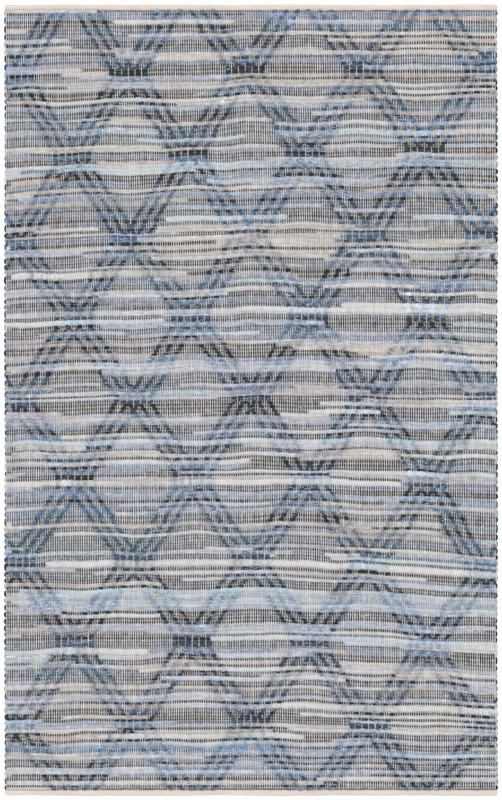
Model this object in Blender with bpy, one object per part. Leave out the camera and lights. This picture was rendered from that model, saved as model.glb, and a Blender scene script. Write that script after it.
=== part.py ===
"""Hand-woven rag rug lying flat: denim and cotton rags on a cotton warp, with a diamond trellis.

Metres, +Z up. The underside lies on z = 0 with the rug's middle at x = y = 0, its length runs
along Y and its width along X. Rag rows are counted from the far end, where y is largest.
"""

import math
import random
from typing import NamedTuple

import bmesh
import bpy

# Driving dimensions: the whole rug
RUG_LENGTH = 2.438
RUG_WIDTH = 1.524
GAP = 0.0003  # between the weave and the headings

# The weave: one rib for each rag row
RAG_ROWS = 230
SELVEDGE_TURN_ROWS = 2  # a rag goes across and comes back, so each turn takes two rows
CREST_HEIGHT = 0.0072
VALLEY_HEIGHT = 0.0046
RAG_HEIGHT_SPREAD = 0.0006
RAG_DEPTH_SPREAD = 0.12  # share by which one rag is thicker or thinner than the next
RAG_DEPTH_MOST = 0.24

# The diamond trellis, raised where rags float over the warp
DIAMOND_WIDTH = 0.362
DIAMOND_ROWS = 48
FIRST_WAIST_ROW = 41  # of the columns half a diamond to the side of the rug's middle line
FLOAT_RISE = 0.0020
WAIST_ROWS = 6.5
ROW_WAVE = 0.0035  # how far the rows bend round a waist
ROW_SAG = 0.0040  # how far the rows lie towards the near end
ROW_BOW = 0.0080  # how much further they lie that way at a selvedge
BOW_POWER = 1.5
BEND_FADE_ROWS = 16  # over these the rows straighten towards a heading
WARP_PULL = 0.0210  # how far the warp's middle is drawn to the left at the far end
PULL_POWER = 3

# Selvedges
SELVEDGE_HEIGHT = 0.0036
TURN_NOTCH = 0.0042
TURN_SHOULDER = 0.0010
EDGE_DRIFT = 0.0022
EDGE_DRIFT_LENGTH = 0.94
EDGE_DRIFT_LAG = 0.30  # of one selvedge behind the middle, so that the two don't drift alike
SOLE_INSET = 0.0030
SOLE_STEPS = 24

# Headings
HEADING_DEPTH = 0.0180
HEADING_INSET = 0.0055
HEADING_STEPS = 30
HEADING_WAVER = 0.0009
HEADING_WAVER_LENGTHS = (0.52, 0.31)
HEADING_CORNER = 0.0035
HEADING_CORNER_RUN = 0.0250

RAG_SEED = 17
FAT_RAG_RISE = 0.0012
CROWDED_ROWS = 5  # on each side of a fat rag, which gives up its extra depth between them


class FatRag(NamedTuple):
    """A rag much thicker than the rest: its row, where it starts and ends, and its extra depth.

    The extra depth is a share of an ordinary row's.
    """

    row: int
    start: float
    end: float
    swell: float


FAT_RAGS = (
    FatRag(row=4, start=-0.40, end=-0.03, swell=0.5),
    FatRag(row=23, start=-0.77, end=-0.42, swell=0.8),
    FatRag(row=71, start=0.30, end=0.77, swell=0.8),
    FatRag(row=76, start=-0.77, end=-0.18, swell=0.6),
    FatRag(row=105, start=-0.77, end=-0.18, swell=0.9),
    FatRag(row=135, start=0.45, end=0.77, swell=0.7),
    FatRag(row=138, start=-0.77, end=0.30, swell=0.6),
    FatRag(row=162, start=-0.64, end=0.77, swell=0.8),
    FatRag(row=188, start=-0.64, end=-0.32, swell=0.8),
    FatRag(row=198, start=-0.77, end=-0.25, swell=0.8),
    FatRag(row=204, start=0.10, end=0.77, swell=0.9),
    FatRag(row=213, start=-0.53, end=0.16, swell=0.6),
)


class RowLean(NamedTuple):
    """A group of rows that doesn't run straight: its middle row, and over how many rows it fades.

    Left and right say how far the rows are shifted along Y at either selvedge.
    """

    row: int
    fade: int
    left: float
    right: float


ROW_LEANS = (
    RowLean(row=35, fade=30, left=0.0, right=0.011),
    RowLean(row=65, fade=55, left=-0.019, right=0.0),
    RowLean(row=160, fade=16, left=0.0, right=-0.025),
    RowLean(row=190, fade=45, left=0.0, right=-0.015),
)


class HeadingPoint(NamedTuple):
    """A point of a heading's section: how far out from the weave, as a share, and its height."""

    out: float
    height: float


HEADING_SECTION = (
    HeadingPoint(out=0.00, height=0.0000),
    HeadingPoint(out=0.00, height=0.0034),
    HeadingPoint(out=0.14, height=0.0027),
    HeadingPoint(out=0.30, height=0.0038),
    HeadingPoint(out=0.62, height=0.0040),
    HeadingPoint(out=0.90, height=0.0034),
    HeadingPoint(out=1.00, height=0.0018),
    HeadingPoint(out=0.96, height=0.0000),
)

HALF_WIDTH = RUG_WIDTH / 2
WEAVE_END = RUG_LENGTH / 2 - HEADING_DEPTH
COLUMN_INSET = 0.014  # the outermost lattice column, moved in to where the selvedge starts to fall


def clear_scene():
    """Removes whatever the scene holds."""
    for obj in list(bpy.data.objects):
        bpy.data.objects.remove(obj, do_unlink=True)


def finish(name, colour, roughness):
    """A cloth material of one colour."""
    material = bpy.data.materials.new(name)
    material.use_nodes = True
    shader = material.node_tree.nodes["Principled BSDF"]
    shader.inputs["Base Color"].default_value = (*colour, 1.0)
    shader.inputs["Roughness"].default_value = roughness
    shader.inputs["Metallic"].default_value = 0.0
    return material


def rag_depths():
    """Each row's share of the length, before the fat rags: both rows of a turn are one rag.

    A turn gives up what the one before it took, so that the rows don't stray along the rug.
    """
    dice = random.Random(RAG_SEED)
    depths = []
    before = 0.0
    for _ in range(RAG_ROWS // SELVEDGE_TURN_ROWS):
        now = max(-RAG_DEPTH_MOST, min(RAG_DEPTH_MOST, dice.gauss(0, RAG_DEPTH_SPREAD)))
        depths += [1 + now - before] * SELVEDGE_TURN_ROWS
        before = now
    return depths


def swell_at(row, x):
    """How much deeper fat rags make this row at x, or thinner where it is crowded by one."""
    swell = 0.0
    for rag in FAT_RAGS:
        if rag.start <= x <= rag.end:
            if rag.row == row:
                swell += rag.swell
            elif abs(rag.row - row) <= CROWDED_ROWS:
                swell -= rag.swell / (2 * CROWDED_ROWS)
    return swell


def row_lean(row, x):
    """How far the rows run off straight towards a selvedge here, along Y."""
    shift = -ROW_BOW
    for lean in ROW_LEANS:
        side = lean.right if x > 0 else lean.left
        shift += side * math.exp(-(((row - lean.row) / lean.fade) ** 2))
    return shift * (abs(x) / HALF_WIDTH) ** BOW_POWER


def row_shift(row, x):
    """How far the weave lies off its even place along Y here.

    Float areas pack tighter than plain ones, which bends the rows round each waist.
    """
    fade = min(1, row / BEND_FADE_ROWS, (RAG_ROWS - row) / BEND_FADE_ROWS)
    along = math.sin(2 * math.pi * (row - FIRST_WAIST_ROW) / DIAMOND_ROWS)
    wave = -ROW_WAVE * along * math.cos(2 * math.pi * x / DIAMOND_WIDTH)
    return fade * (wave - ROW_SAG + row_lean(row, x))


def drawn_aside(x, y):
    """Where a warp line that belongs at x lies at this y: drawn to the left towards the far end."""
    middle = 1 - (abs(x) / HALF_WIDTH) ** PULL_POWER
    return x - WARP_PULL * middle * max(0, y / WEAVE_END)


def row_lines(x, depths):
    """The y of each valley and crest at x, from the far end to the near one."""
    edges = [0.0]
    for row, depth in enumerate(depths):
        edges.append(edges[-1] + depth + swell_at(row, x))
    scale = 2 * WEAVE_END / edges[-1]
    lines = []
    for row in range(RAG_ROWS):
        lines.append(WEAVE_END - edges[row] * scale + row_shift(row, x))
        middle = (edges[row] + edges[row + 1]) / 2
        lines.append(WEAVE_END - middle * scale + row_shift(row + 0.5, x))
    return lines + [-WEAVE_END]


def waist_rise(row, x):
    """How far the floats of the nearest waist lift the weave at this row and x."""
    beside = round(2 * x / DIAMOND_WIDTH) % 2  # 1 on the columns beside the middle line
    first = FIRST_WAIST_ROW - (0 if beside else DIAMOND_ROWS / 2)
    away = (row - first + DIAMOND_ROWS / 2) % DIAMOND_ROWS - DIAMOND_ROWS / 2
    return FLOAT_RISE * max(0, 1 - (away / WAIST_ROWS) ** 2)


def edge_at(row, y, side):
    """The selvedge's x at this row: a notch between turns, a bulge round each, and a slow drift."""
    within = row % SELVEDGE_TURN_ROWS
    notch = TURN_NOTCH if within == 0 else TURN_SHOULDER * abs(within - 1) * 2
    phase = 2 * math.pi * (y + side * EDGE_DRIFT_LAG) / EDGE_DRIFT_LENGTH
    drift = EDGE_DRIFT * (1 - math.cos(phase)) / 2
    return side * (HALF_WIDTH - notch - drift)


def column_places():
    """The x of the lattice's columns: each diamond's middle line and the lines between two."""
    reach = int(2 * HALF_WIDTH / DIAMOND_WIDTH)
    inner = [i * DIAMOND_WIDTH / 2 for i in range(1 - reach, reach)]
    return [COLUMN_INSET - HALF_WIDTH, *inner, HALF_WIDTH - COLUMN_INSET]


def top_points():
    """The weave's upper surface as rows of points, each from the left selvedge to the right."""
    depths = rag_depths()
    dice = random.Random(RAG_SEED + 1)
    lift = [dice.gauss(0, RAG_HEIGHT_SPREAD) for _ in range(RAG_ROWS)]
    places = column_places()
    columns = [row_lines(x, depths) for x in (-HALF_WIDTH, *places, HALF_WIDTH)]
    rows = []
    for line in range(2 * RAG_ROWS + 1):
        row = line / 2
        crest = line % 2 == 1
        points = []
        for x, column in zip(places, columns[1:-1], strict=True):
            height = VALLEY_HEIGHT
            if crest:
                height = CREST_HEIGHT + lift[line // 2] + FAT_RAG_RISE * swell_at(line // 2, x)
            y = column[line]
            points.append((drawn_aside(x, y), y, height + waist_rise(row, x)))
        left, right = columns[0][line], columns[-1][line]
        first = (edge_at(row, left, -1), left, SELVEDGE_HEIGHT)
        last = (edge_at(row, right, 1), right, SELVEDGE_HEIGHT)
        rows.append([first, *points, last])
    return rows


def add_loop(mesh, points):
    """Adds points to the mesh and returns them."""
    return [mesh.verts.new(point) for point in points]


def join_chains(mesh, upper, lower):
    """Faces between two chains of points that run the same way along Y, of any two lengths."""
    i = j = 0
    while i < len(upper) - 1 or j < len(lower) - 1:
        next_upper = upper[i + 1].co.y if i < len(upper) - 1 else -math.inf
        next_lower = lower[j + 1].co.y if j < len(lower) - 1 else -math.inf
        if next_upper >= next_lower:
            mesh.faces.new((upper[i], upper[i + 1], lower[j]))
            i += 1
        else:
            mesh.faces.new((upper[i], lower[j + 1], lower[j]))
            j += 1


def as_object(name, mesh, material):
    """Turns the bmesh into a named object with outward faces."""
    bmesh.ops.recalc_face_normals(mesh, faces=mesh.faces)
    data = bpy.data.meshes.new(name)
    mesh.to_mesh(data)
    mesh.free()
    data.materials.append(material)
    obj = bpy.data.objects.new(name, data)
    bpy.context.scene.collection.objects.link(obj)
    return obj


def build_field(material):
    """The woven field: ribbed on top, flat below, with the rags' turns along both selvedges."""
    mesh = bmesh.new()
    rows = [add_loop(mesh, points) for points in top_points()]
    for upper, lower in zip(rows, rows[1:], strict=False):
        for i in range(len(upper) - 1):
            mesh.faces.new((upper[i], lower[i], lower[i + 1], upper[i + 1]))
    sole_x = HALF_WIDTH - SOLE_INSET - EDGE_DRIFT - TURN_NOTCH
    sole_y = [WEAVE_END * (1 - 2 * step / SOLE_STEPS) for step in range(SOLE_STEPS + 1)]
    left = add_loop(mesh, [(-sole_x, y, 0.0) for y in sole_y])
    right = add_loop(mesh, [(sole_x, y, 0.0) for y in sole_y])
    join_chains(mesh, [row[0] for row in rows], left)
    join_chains(mesh, [row[-1] for row in rows], right)
    for row, i in ((rows[0], 0), (rows[-1], -1)):
        mesh.faces.new((*row, right[i], left[i]))
    mesh.faces.new((*left, *reversed(right)))
    return as_object("rag_field", mesh, material)


def heading_reach(x):
    """How far a heading reaches out from the weave at x: a slight waver, drawn in at its corners."""
    half = HALF_WIDTH - HEADING_INSET
    waves = [math.sin(2 * math.pi * x / length) for length in HEADING_WAVER_LENGTHS]
    waver = HEADING_WAVER * (sum(waves) / len(waves) - 1)
    corner = HEADING_CORNER * max(0, 1 - (half - abs(x)) / HEADING_CORNER_RUN) ** 2
    return HEADING_DEPTH - GAP + waver - corner


def build_heading(name, side, material):
    """A folded cotton heading along one end: side is 1 at the far end and -1 at the near one."""
    mesh = bmesh.new()
    half = HALF_WIDTH - HEADING_INSET
    rings = []
    for step in range(HEADING_STEPS + 1):
        x = half * (2 * step / HEADING_STEPS - 1)
        reach = heading_reach(x)
        ring = [(x, side * (WEAVE_END + GAP + p.out * reach), p.height) for p in HEADING_SECTION]
        rings.append(add_loop(mesh, ring))
    for near, far in zip(rings, rings[1:], strict=False):
        for i in range(len(near)):
            after = (i + 1) % len(near)
            mesh.faces.new((near[i], near[after], far[after], far[i]))
    mesh.faces.new(rings[0])
    mesh.faces.new(rings[-1])
    return as_object(name, mesh, material)


def main():
    """Builds the rug: the woven field and a heading at each end."""
    clear_scene()
    denim = finish("denim_and_cotton_rag", (0.36, 0.41, 0.47), 0.9)
    cotton = finish("cream_cotton", (0.78, 0.68, 0.60), 0.88)
    build_field(denim)
    build_heading("heading_far", 1, cotton)
    build_heading("heading_near", -1, cotton)


if __name__ == "__main__":
    main()
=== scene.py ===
"""Looks of a hand-woven rag rug lying flat: denim and cotton rags tied down by a cream cotton warp.

Metres, +Z up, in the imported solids' frame: the rug's length runs along Y and its width along X.
Rag rows are counted from the far end, warp lines from the rug's middle line.
"""

import logging
import math
import random
from collections.abc import Sequence
from dataclasses import dataclass, field
from enum import Enum
from typing import ClassVar, NamedTuple

import bpy
import numpy as np
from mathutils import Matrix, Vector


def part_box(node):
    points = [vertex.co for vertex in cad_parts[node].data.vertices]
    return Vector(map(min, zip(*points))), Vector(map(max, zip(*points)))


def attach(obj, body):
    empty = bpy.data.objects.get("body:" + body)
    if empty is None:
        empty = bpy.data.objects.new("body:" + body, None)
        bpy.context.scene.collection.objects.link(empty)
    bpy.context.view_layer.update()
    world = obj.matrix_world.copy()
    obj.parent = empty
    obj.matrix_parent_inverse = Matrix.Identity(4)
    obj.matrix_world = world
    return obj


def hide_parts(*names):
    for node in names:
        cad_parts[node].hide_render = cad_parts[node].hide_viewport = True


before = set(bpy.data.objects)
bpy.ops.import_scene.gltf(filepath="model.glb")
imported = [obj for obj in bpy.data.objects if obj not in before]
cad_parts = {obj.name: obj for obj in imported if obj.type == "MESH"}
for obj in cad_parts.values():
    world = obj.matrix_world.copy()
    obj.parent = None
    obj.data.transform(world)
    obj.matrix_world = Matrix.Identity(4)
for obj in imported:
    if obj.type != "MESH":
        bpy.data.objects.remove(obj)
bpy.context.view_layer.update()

log = logging.getLogger("rag_rug")

Vector3 = tuple[float, float, float]
Span = tuple[float, float]
Socket = bpy.types.NodeSocket
Number = Socket | float
Colour = Socket | Sequence[float]


# ---- cloths and their places


def as_linear(red: int, green: int, blue: int) -> Vector3:
    """Turns a colour as seen on a screen, 0 to 255, into the shader's linear one."""
    shares = (channel / 255 for channel in (red, green, blue))
    return tuple(s / 12.92 if s <= 0.04045 else ((s + 0.055) / 1.055) ** 2.4 for s in shares)


class Weave(Enum):
    """How a rag's own cloth is woven or knitted."""

    TWILL = "twill"
    PLAIN = "plain"
    KNIT = "knit"


class WeaveLook(NamedTuple):
    """How cloth of one weave takes the light.

    Attributes:
        shaded: Painted shade where a warp line pinches a rag: how much of its light the rag keeps
            there.
        patchy: How much lighter and darker a dark rag is from place to place, as a share.
    """

    shaded: float
    patchy: float


WEAVE_LOOKS = {
    Weave.TWILL: WeaveLook(shaded=0.52, patchy=0.48),
    Weave.PLAIN: WeaveLook(shaded=0.48, patchy=0.24),
    Weave.KNIT: WeaveLook(shaded=0.54, patchy=0.12),
}


class Cloth(Enum):
    """The kinds of rag in the rug."""

    BLACK = "black_twill"
    NAVY = "navy_denim"
    DARK = "dark_denim"
    MID = "mid_denim"
    LIGHT = "light_denim"
    PALE = "pale_denim"
    BRIGHT = "bright_blue_cotton"
    TEAL = "grey_teal_denim"
    GREY = "grey_cotton"
    LILAC = "lilac_cotton"
    TAN = "tan_cotton"
    ECRU = "ecru_cotton"
    ICE = "icy_cotton"
    WHITE = "white_cotton"


@dataclass(frozen=True)
class RagFinish:
    """The finish of one kind of rag cloth.

    Attributes:
        cloth: The kind of rag.
        colour: Its usual colour, linear.
        spread: How much lighter or darker one rag is than the next, as a share.
        drift: How far one rag's hue strays from the usual, as a share.
        weave: How the cloth is made.
        fleck: How strongly its pale cross threads show, 0 to 1.
        common: How often it comes up among the rags that no streak or patch names.
        girth: How wide a rag of it lies, where 1 fills its row.
    """

    cloth: Cloth
    colour: Vector3
    spread: float
    drift: float
    weave: Weave
    fleck: float
    common: float
    girth: float

    DENIM_INSIDE: ClassVar[float] = 0.6
    OTHER_INSIDE: ClassVar[float] = 0.15
    EVEN_WHEN_PALE: ClassVar[float] = 0.8
    SCREEN_CURVE: ClassVar[float] = 2.2

    @property
    def light(self) -> float:
        """How much light it gives back, 0 to 1: the mean of its colour."""
        return sum(self.colour) / 3

    @property
    def tone(self) -> float:
        """How light it looks, 0 to 1."""
        return self.light ** (1 / self.SCREEN_CURVE)

    @property
    def inside(self) -> float:
        """How pale the cloth's inside is, 0 to 1: denim's is nearly white."""
        denim = self.weave is Weave.TWILL and self.cloth is not Cloth.BLACK
        return self.DENIM_INSIDE if denim else self.OTHER_INSIDE

    @property
    def shaded(self) -> float:
        """Painted shade where a warp line pinches it: how much of its light a rag keeps there."""
        return WEAVE_LOOKS[self.weave].shaded

    @property
    def patchy(self) -> float:
        """How much lighter and darker one rag is from place to place, as a share."""
        return WEAVE_LOOKS[self.weave].patchy * (1 - self.EVEN_WHEN_PALE * self.light)


# Each row: cloth, colour, spread, drift, weave, fleck, how common, girth.
FINISHES = (
    RagFinish(Cloth.BLACK, as_linear(20, 25, 33), 0.25, 0.12, Weave.TWILL, 0.12, 0.09, 0.80),
    RagFinish(Cloth.NAVY, as_linear(21, 38, 60), 0.25, 0.06, Weave.TWILL, 0.35, 0.12, 0.86),
    RagFinish(Cloth.DARK, as_linear(36, 63, 91), 0.25, 0.07, Weave.TWILL, 0.50, 0.12, 0.95),
    RagFinish(Cloth.MID, as_linear(69, 101, 133), 0.22, 0.07, Weave.TWILL, 0.60, 0.13, 1.00),
    RagFinish(Cloth.LIGHT, as_linear(119, 146, 179), 0.18, 0.05, Weave.TWILL, 0.55, 0.15, 1.00),
    RagFinish(Cloth.PALE, as_linear(177, 194, 216), 0.12, 0.03, Weave.TWILL, 0.40, 0.15, 1.10),
    RagFinish(Cloth.BRIGHT, as_linear(76, 118, 164), 0.12, 0.05, Weave.PLAIN, 0.35, 0.00, 1.00),
    RagFinish(Cloth.TEAL, as_linear(50, 79, 96), 0.25, 0.07, Weave.TWILL, 0.50, 0.05, 1.00),
    RagFinish(Cloth.GREY, as_linear(112, 119, 129), 0.22, 0.05, Weave.PLAIN, 0.40, 0.04, 1.00),
    RagFinish(Cloth.LILAC, as_linear(199, 198, 209), 0.10, 0.03, Weave.PLAIN, 0.25, 0.10, 1.12),
    RagFinish(Cloth.TAN, as_linear(202, 187, 173), 0.18, 0.06, Weave.PLAIN, 0.25, 0.02, 1.00),
    RagFinish(Cloth.ECRU, as_linear(214, 206, 198), 0.10, 0.02, Weave.PLAIN, 0.15, 0.09, 1.16),
    RagFinish(Cloth.ICE, as_linear(197, 209, 221), 0.07, 0.02, Weave.KNIT, 0.10, 0.06, 1.18),
    RagFinish(Cloth.WHITE, as_linear(219, 219, 218), 0.05, 0.01, Weave.KNIT, 0.05, 0.03, 1.18),
)
KINDS = {finish.cloth: kind for kind, finish in enumerate(FINISHES)}

TICK = 0.00308  # metres to a step of the places in the tables
TICKS_LEFT = 250.75  # steps from the left to the rug's middle line
TICKS_UP = 400.75  # steps from the top to its middle


class Streak(NamedTuple):
    """A rag that stands out: how far down the rug it lies, and from where to where across it."""

    down: float
    left: float
    right: float


class Patch(NamedTuple):
    """A stretch of the rug where one cloth is common, and the share of its rags that are of it."""

    top: float
    bottom: float
    left: float
    right: float
    share: float


def streaks(*rows: Vector3) -> tuple[Streak, ...]:
    """Names the columns of a table's rows: how far down, from where, and to where across."""
    return tuple(Streak(*row) for row in rows)


# Dark rags come first, because a rag that is laid later covers the ones before it.
STREAKS: dict[Cloth, tuple[Streak, ...]] = {
    Cloth.BLACK: streaks(
        (24, 35, 150), (28, 145, 250), (44, 160, 235), (70, 85, 320), (77, 10, 65), (97, 8, 200),
        (115, 88, 250), (115, 380, 465), (155, 30, 215), (174, 160, 220), (174, 275, 345),
        (174, 380, 497), (216, 290, 415), (224, 8, 170), (244, 8, 220), (265, 100, 240),
        (275, 300, 497), (281, 8, 115), (298, 165, 345), (304, 8, 100), (324, 325, 455),
        (340, 45, 200), (352, 150, 360), (364, 8, 120), (379, 230, 300), (397, 8, 120),
        (407, 8, 320), (411, 8, 320), (416, 335, 400), (419, 400, 475), (434, 400, 450),
        (437, 400, 450), (463, 251, 400), (466, 251, 400), (467, 8, 105), (477, 15, 330),
        (480, 330, 400), (495, 330, 497), (500, 55, 250), (518, 251, 350), (519, 400, 490),
        (521, 251, 350), (558, 275, 330), (586, 220, 285), (588, 10, 55), (590, 220, 335),
        (613, 60, 400), (622, 50, 160), (624, 225, 340), (624, 395, 497), (641, 110, 165),
        (654, 455, 497), (662, 340, 400), (673, 180, 230), (673, 275, 395), (679, 115, 240),
        (684, 330, 470), (686, 208, 275), (713, 251, 300), (713, 345, 460), (718, 430, 497),
        (722, 40, 350), (728, 430, 497), (738, 303, 497), (764, 35, 110), (764, 155, 235),
        (764, 262, 375), (778, 8, 110), (778, 155, 270), (778, 370, 497), (788, 251, 345),
        (788, 395, 497),
    ),
    Cloth.NAVY: streaks(
        (15, 150, 250), (36, 255, 470), (45, 137, 160), (48, 207, 240), (50, 75, 120),
        (50, 330, 480), (146, 165, 215), (146, 283, 325), (146, 400, 448), (174, 45, 100),
        (235, 225, 270), (235, 385, 497), (388, 340, 460), (430, 20, 125), (430, 262, 292),
        (430, 325, 410), (449, 85, 115), (449, 155, 245), (449, 385, 470), (485, 172, 215),
        (485, 290, 320), (485, 410, 450), (504, 400, 460), (558, 230, 275), (581, 455, 490),
        (623, 160, 225), (642, 175, 215), (642, 290, 330), (657, 50, 100), (657, 165, 220),
        (662, 280, 340), (691, 28, 60), (691, 95, 175), (730, 350, 390), (746, 22, 52),
        (788, 50, 80), (788, 165, 225),
    ),
    Cloth.WHITE: streaks(
        (25, 120, 240), (90, 400, 497), (100, 35, 330), (276, 8, 190), (288, 325, 420),
        (297, 100, 230), (356, 370, 497), (371, 8, 190), (411, 310, 380), (417, 280, 330),
        (436, 60, 170), (458, 425, 497), (463, 110, 170), (463, 215, 250), (474, 395, 497),
        (482, 5, 400), (551, 205, 250), (555, 325, 360), (568, 45, 497), (618, 60, 160),
        (634, 228, 420), (647, 463, 497), (651, 40, 148), (652, 400, 497), (681, 160, 345),
        (689, 350, 400), (708, 270, 497), (736, 80, 303), (757, 25, 80), (757, 110, 160),
    ),
    Cloth.ICE: streaks(
        (93, 8, 110), (141, 140, 250), (254, 350, 497), (334, 130, 260), (367, 190, 497),
        (413, 450, 497), (441, 8, 497), (594, 60, 497), (598, 8, 497), (602, 8, 300),
        (606, 120, 497),
    ),
    Cloth.ECRU: streaks(
        (56, 120, 480), (75, 65, 110), (122, 115, 165), (150, 115, 170), (421, 60, 200),
        (453, 8, 160), (453, 300, 400), (457, 300, 400), (514, 340, 440), (515, 60, 130),
        (524, 340, 440), (531, 340, 440), (678, 395, 450), (686, 5, 170), (708, 130, 170),
    ),
    Cloth.TAN: streaks(
        (136, 38, 70), (183, 8, 60), (371, 15, 45), (594, 150, 165), (594, 455, 475),
        (595, 330, 345), (630, 8, 110), (653, 275, 345), (665, 30, 75), (665, 125, 200),
        (708, 65, 105), (738, 30, 100),
    ),
    Cloth.BRIGHT: streaks(
        (52, 160, 250), (171, 20, 60), (507, 115, 250), (511, 5, 115), (512, 395, 460),
        (514, 5, 115), (545, 455, 485), (563, 350, 380),
    ),
    Cloth.LIGHT: streaks(
        (159, 160, 210), (472, 8, 160), (495, 8, 105), (495, 275, 330), (500, 440, 497),
        (504, 270, 320), (509, 320, 400), (642, 55, 95),
    ),
    Cloth.TEAL: streaks(
        (675, 38, 115), (680, 38, 115), (768, 385, 460),
    ),
    Cloth.LILAC: streaks(
        (446, 250, 497), (615, 8, 60),
    ),
}

PATCHES: dict[Cloth, tuple[Patch, ...]] = {
    Cloth.BLACK: (Patch(716, 732, 445, 497, 0.6),),
    Cloth.TEAL: (Patch(518, 560, 8, 250, 0.4),),
    Cloth.LIGHT: (Patch(470, 476, 8, 160, 0.7), Patch(492, 500, 8, 110, 0.7)),
    Cloth.PALE: (Patch(438, 446, 8, 497, 0.5), Patch(592, 612, 8, 497, 0.8)),
    Cloth.ECRU: (
        Patch(46, 88, 30, 110, 0.2), Patch(206, 258, 150, 345, 0.2), Patch(214, 262, 30, 100, 0.2),
        Patch(236, 262, 395, 497, 0.35), Patch(450, 460, 8, 100, 0.35), Patch(508, 535, 330, 440, 0.3),
    ),
}


class RowLean(NamedTuple):
    """A group of rows that doesn't run straight: its middle row, and over how many rows it fades.

    Left and right say how far the rows are shifted along Y at either selvedge.
    """

    row: int
    fade: int
    left: float
    right: float


ROW_LEANS = (
    RowLean(row=35, fade=30, left=0.0, right=0.011),
    RowLean(row=65, fade=55, left=-0.019, right=0.0),
    RowLean(row=160, fade=16, left=0.0, right=-0.025),
    RowLean(row=190, fade=45, left=0.0, right=-0.015),
)


class FatRag(NamedTuple):
    """A rag much thicker than the rest: its row, its start and end, and its share of extra depth."""

    row: int
    start: float
    end: float
    swell: float


FAT_RAGS = (
    FatRag(row=4, start=-0.40, end=-0.03, swell=0.5),
    FatRag(row=23, start=-0.77, end=-0.42, swell=0.8),
    FatRag(row=71, start=0.30, end=0.77, swell=0.8),
    FatRag(row=76, start=-0.77, end=-0.18, swell=0.6),
    FatRag(row=105, start=-0.77, end=-0.18, swell=0.9),
    FatRag(row=135, start=0.45, end=0.77, swell=0.7),
    FatRag(row=138, start=-0.77, end=0.30, swell=0.6),
    FatRag(row=162, start=-0.64, end=0.77, swell=0.8),
    FatRag(row=188, start=-0.64, end=-0.32, swell=0.8),
    FatRag(row=198, start=-0.77, end=-0.25, swell=0.8),
    FatRag(row=204, start=0.10, end=0.77, swell=0.9),
    FatRag(row=213, start=-0.53, end=0.16, swell=0.6),
)


# ---- where rows and lines run

FLOAT_END = 0.5  # how freely a rag lies at the ends of a float, where 1 is at its middle


def eased(share: np.ndarray) -> np.ndarray:
    """Makes a share that runs evenly from 0 to 1 start and end gently."""
    return share * share * (3 - 2 * share)


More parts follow.
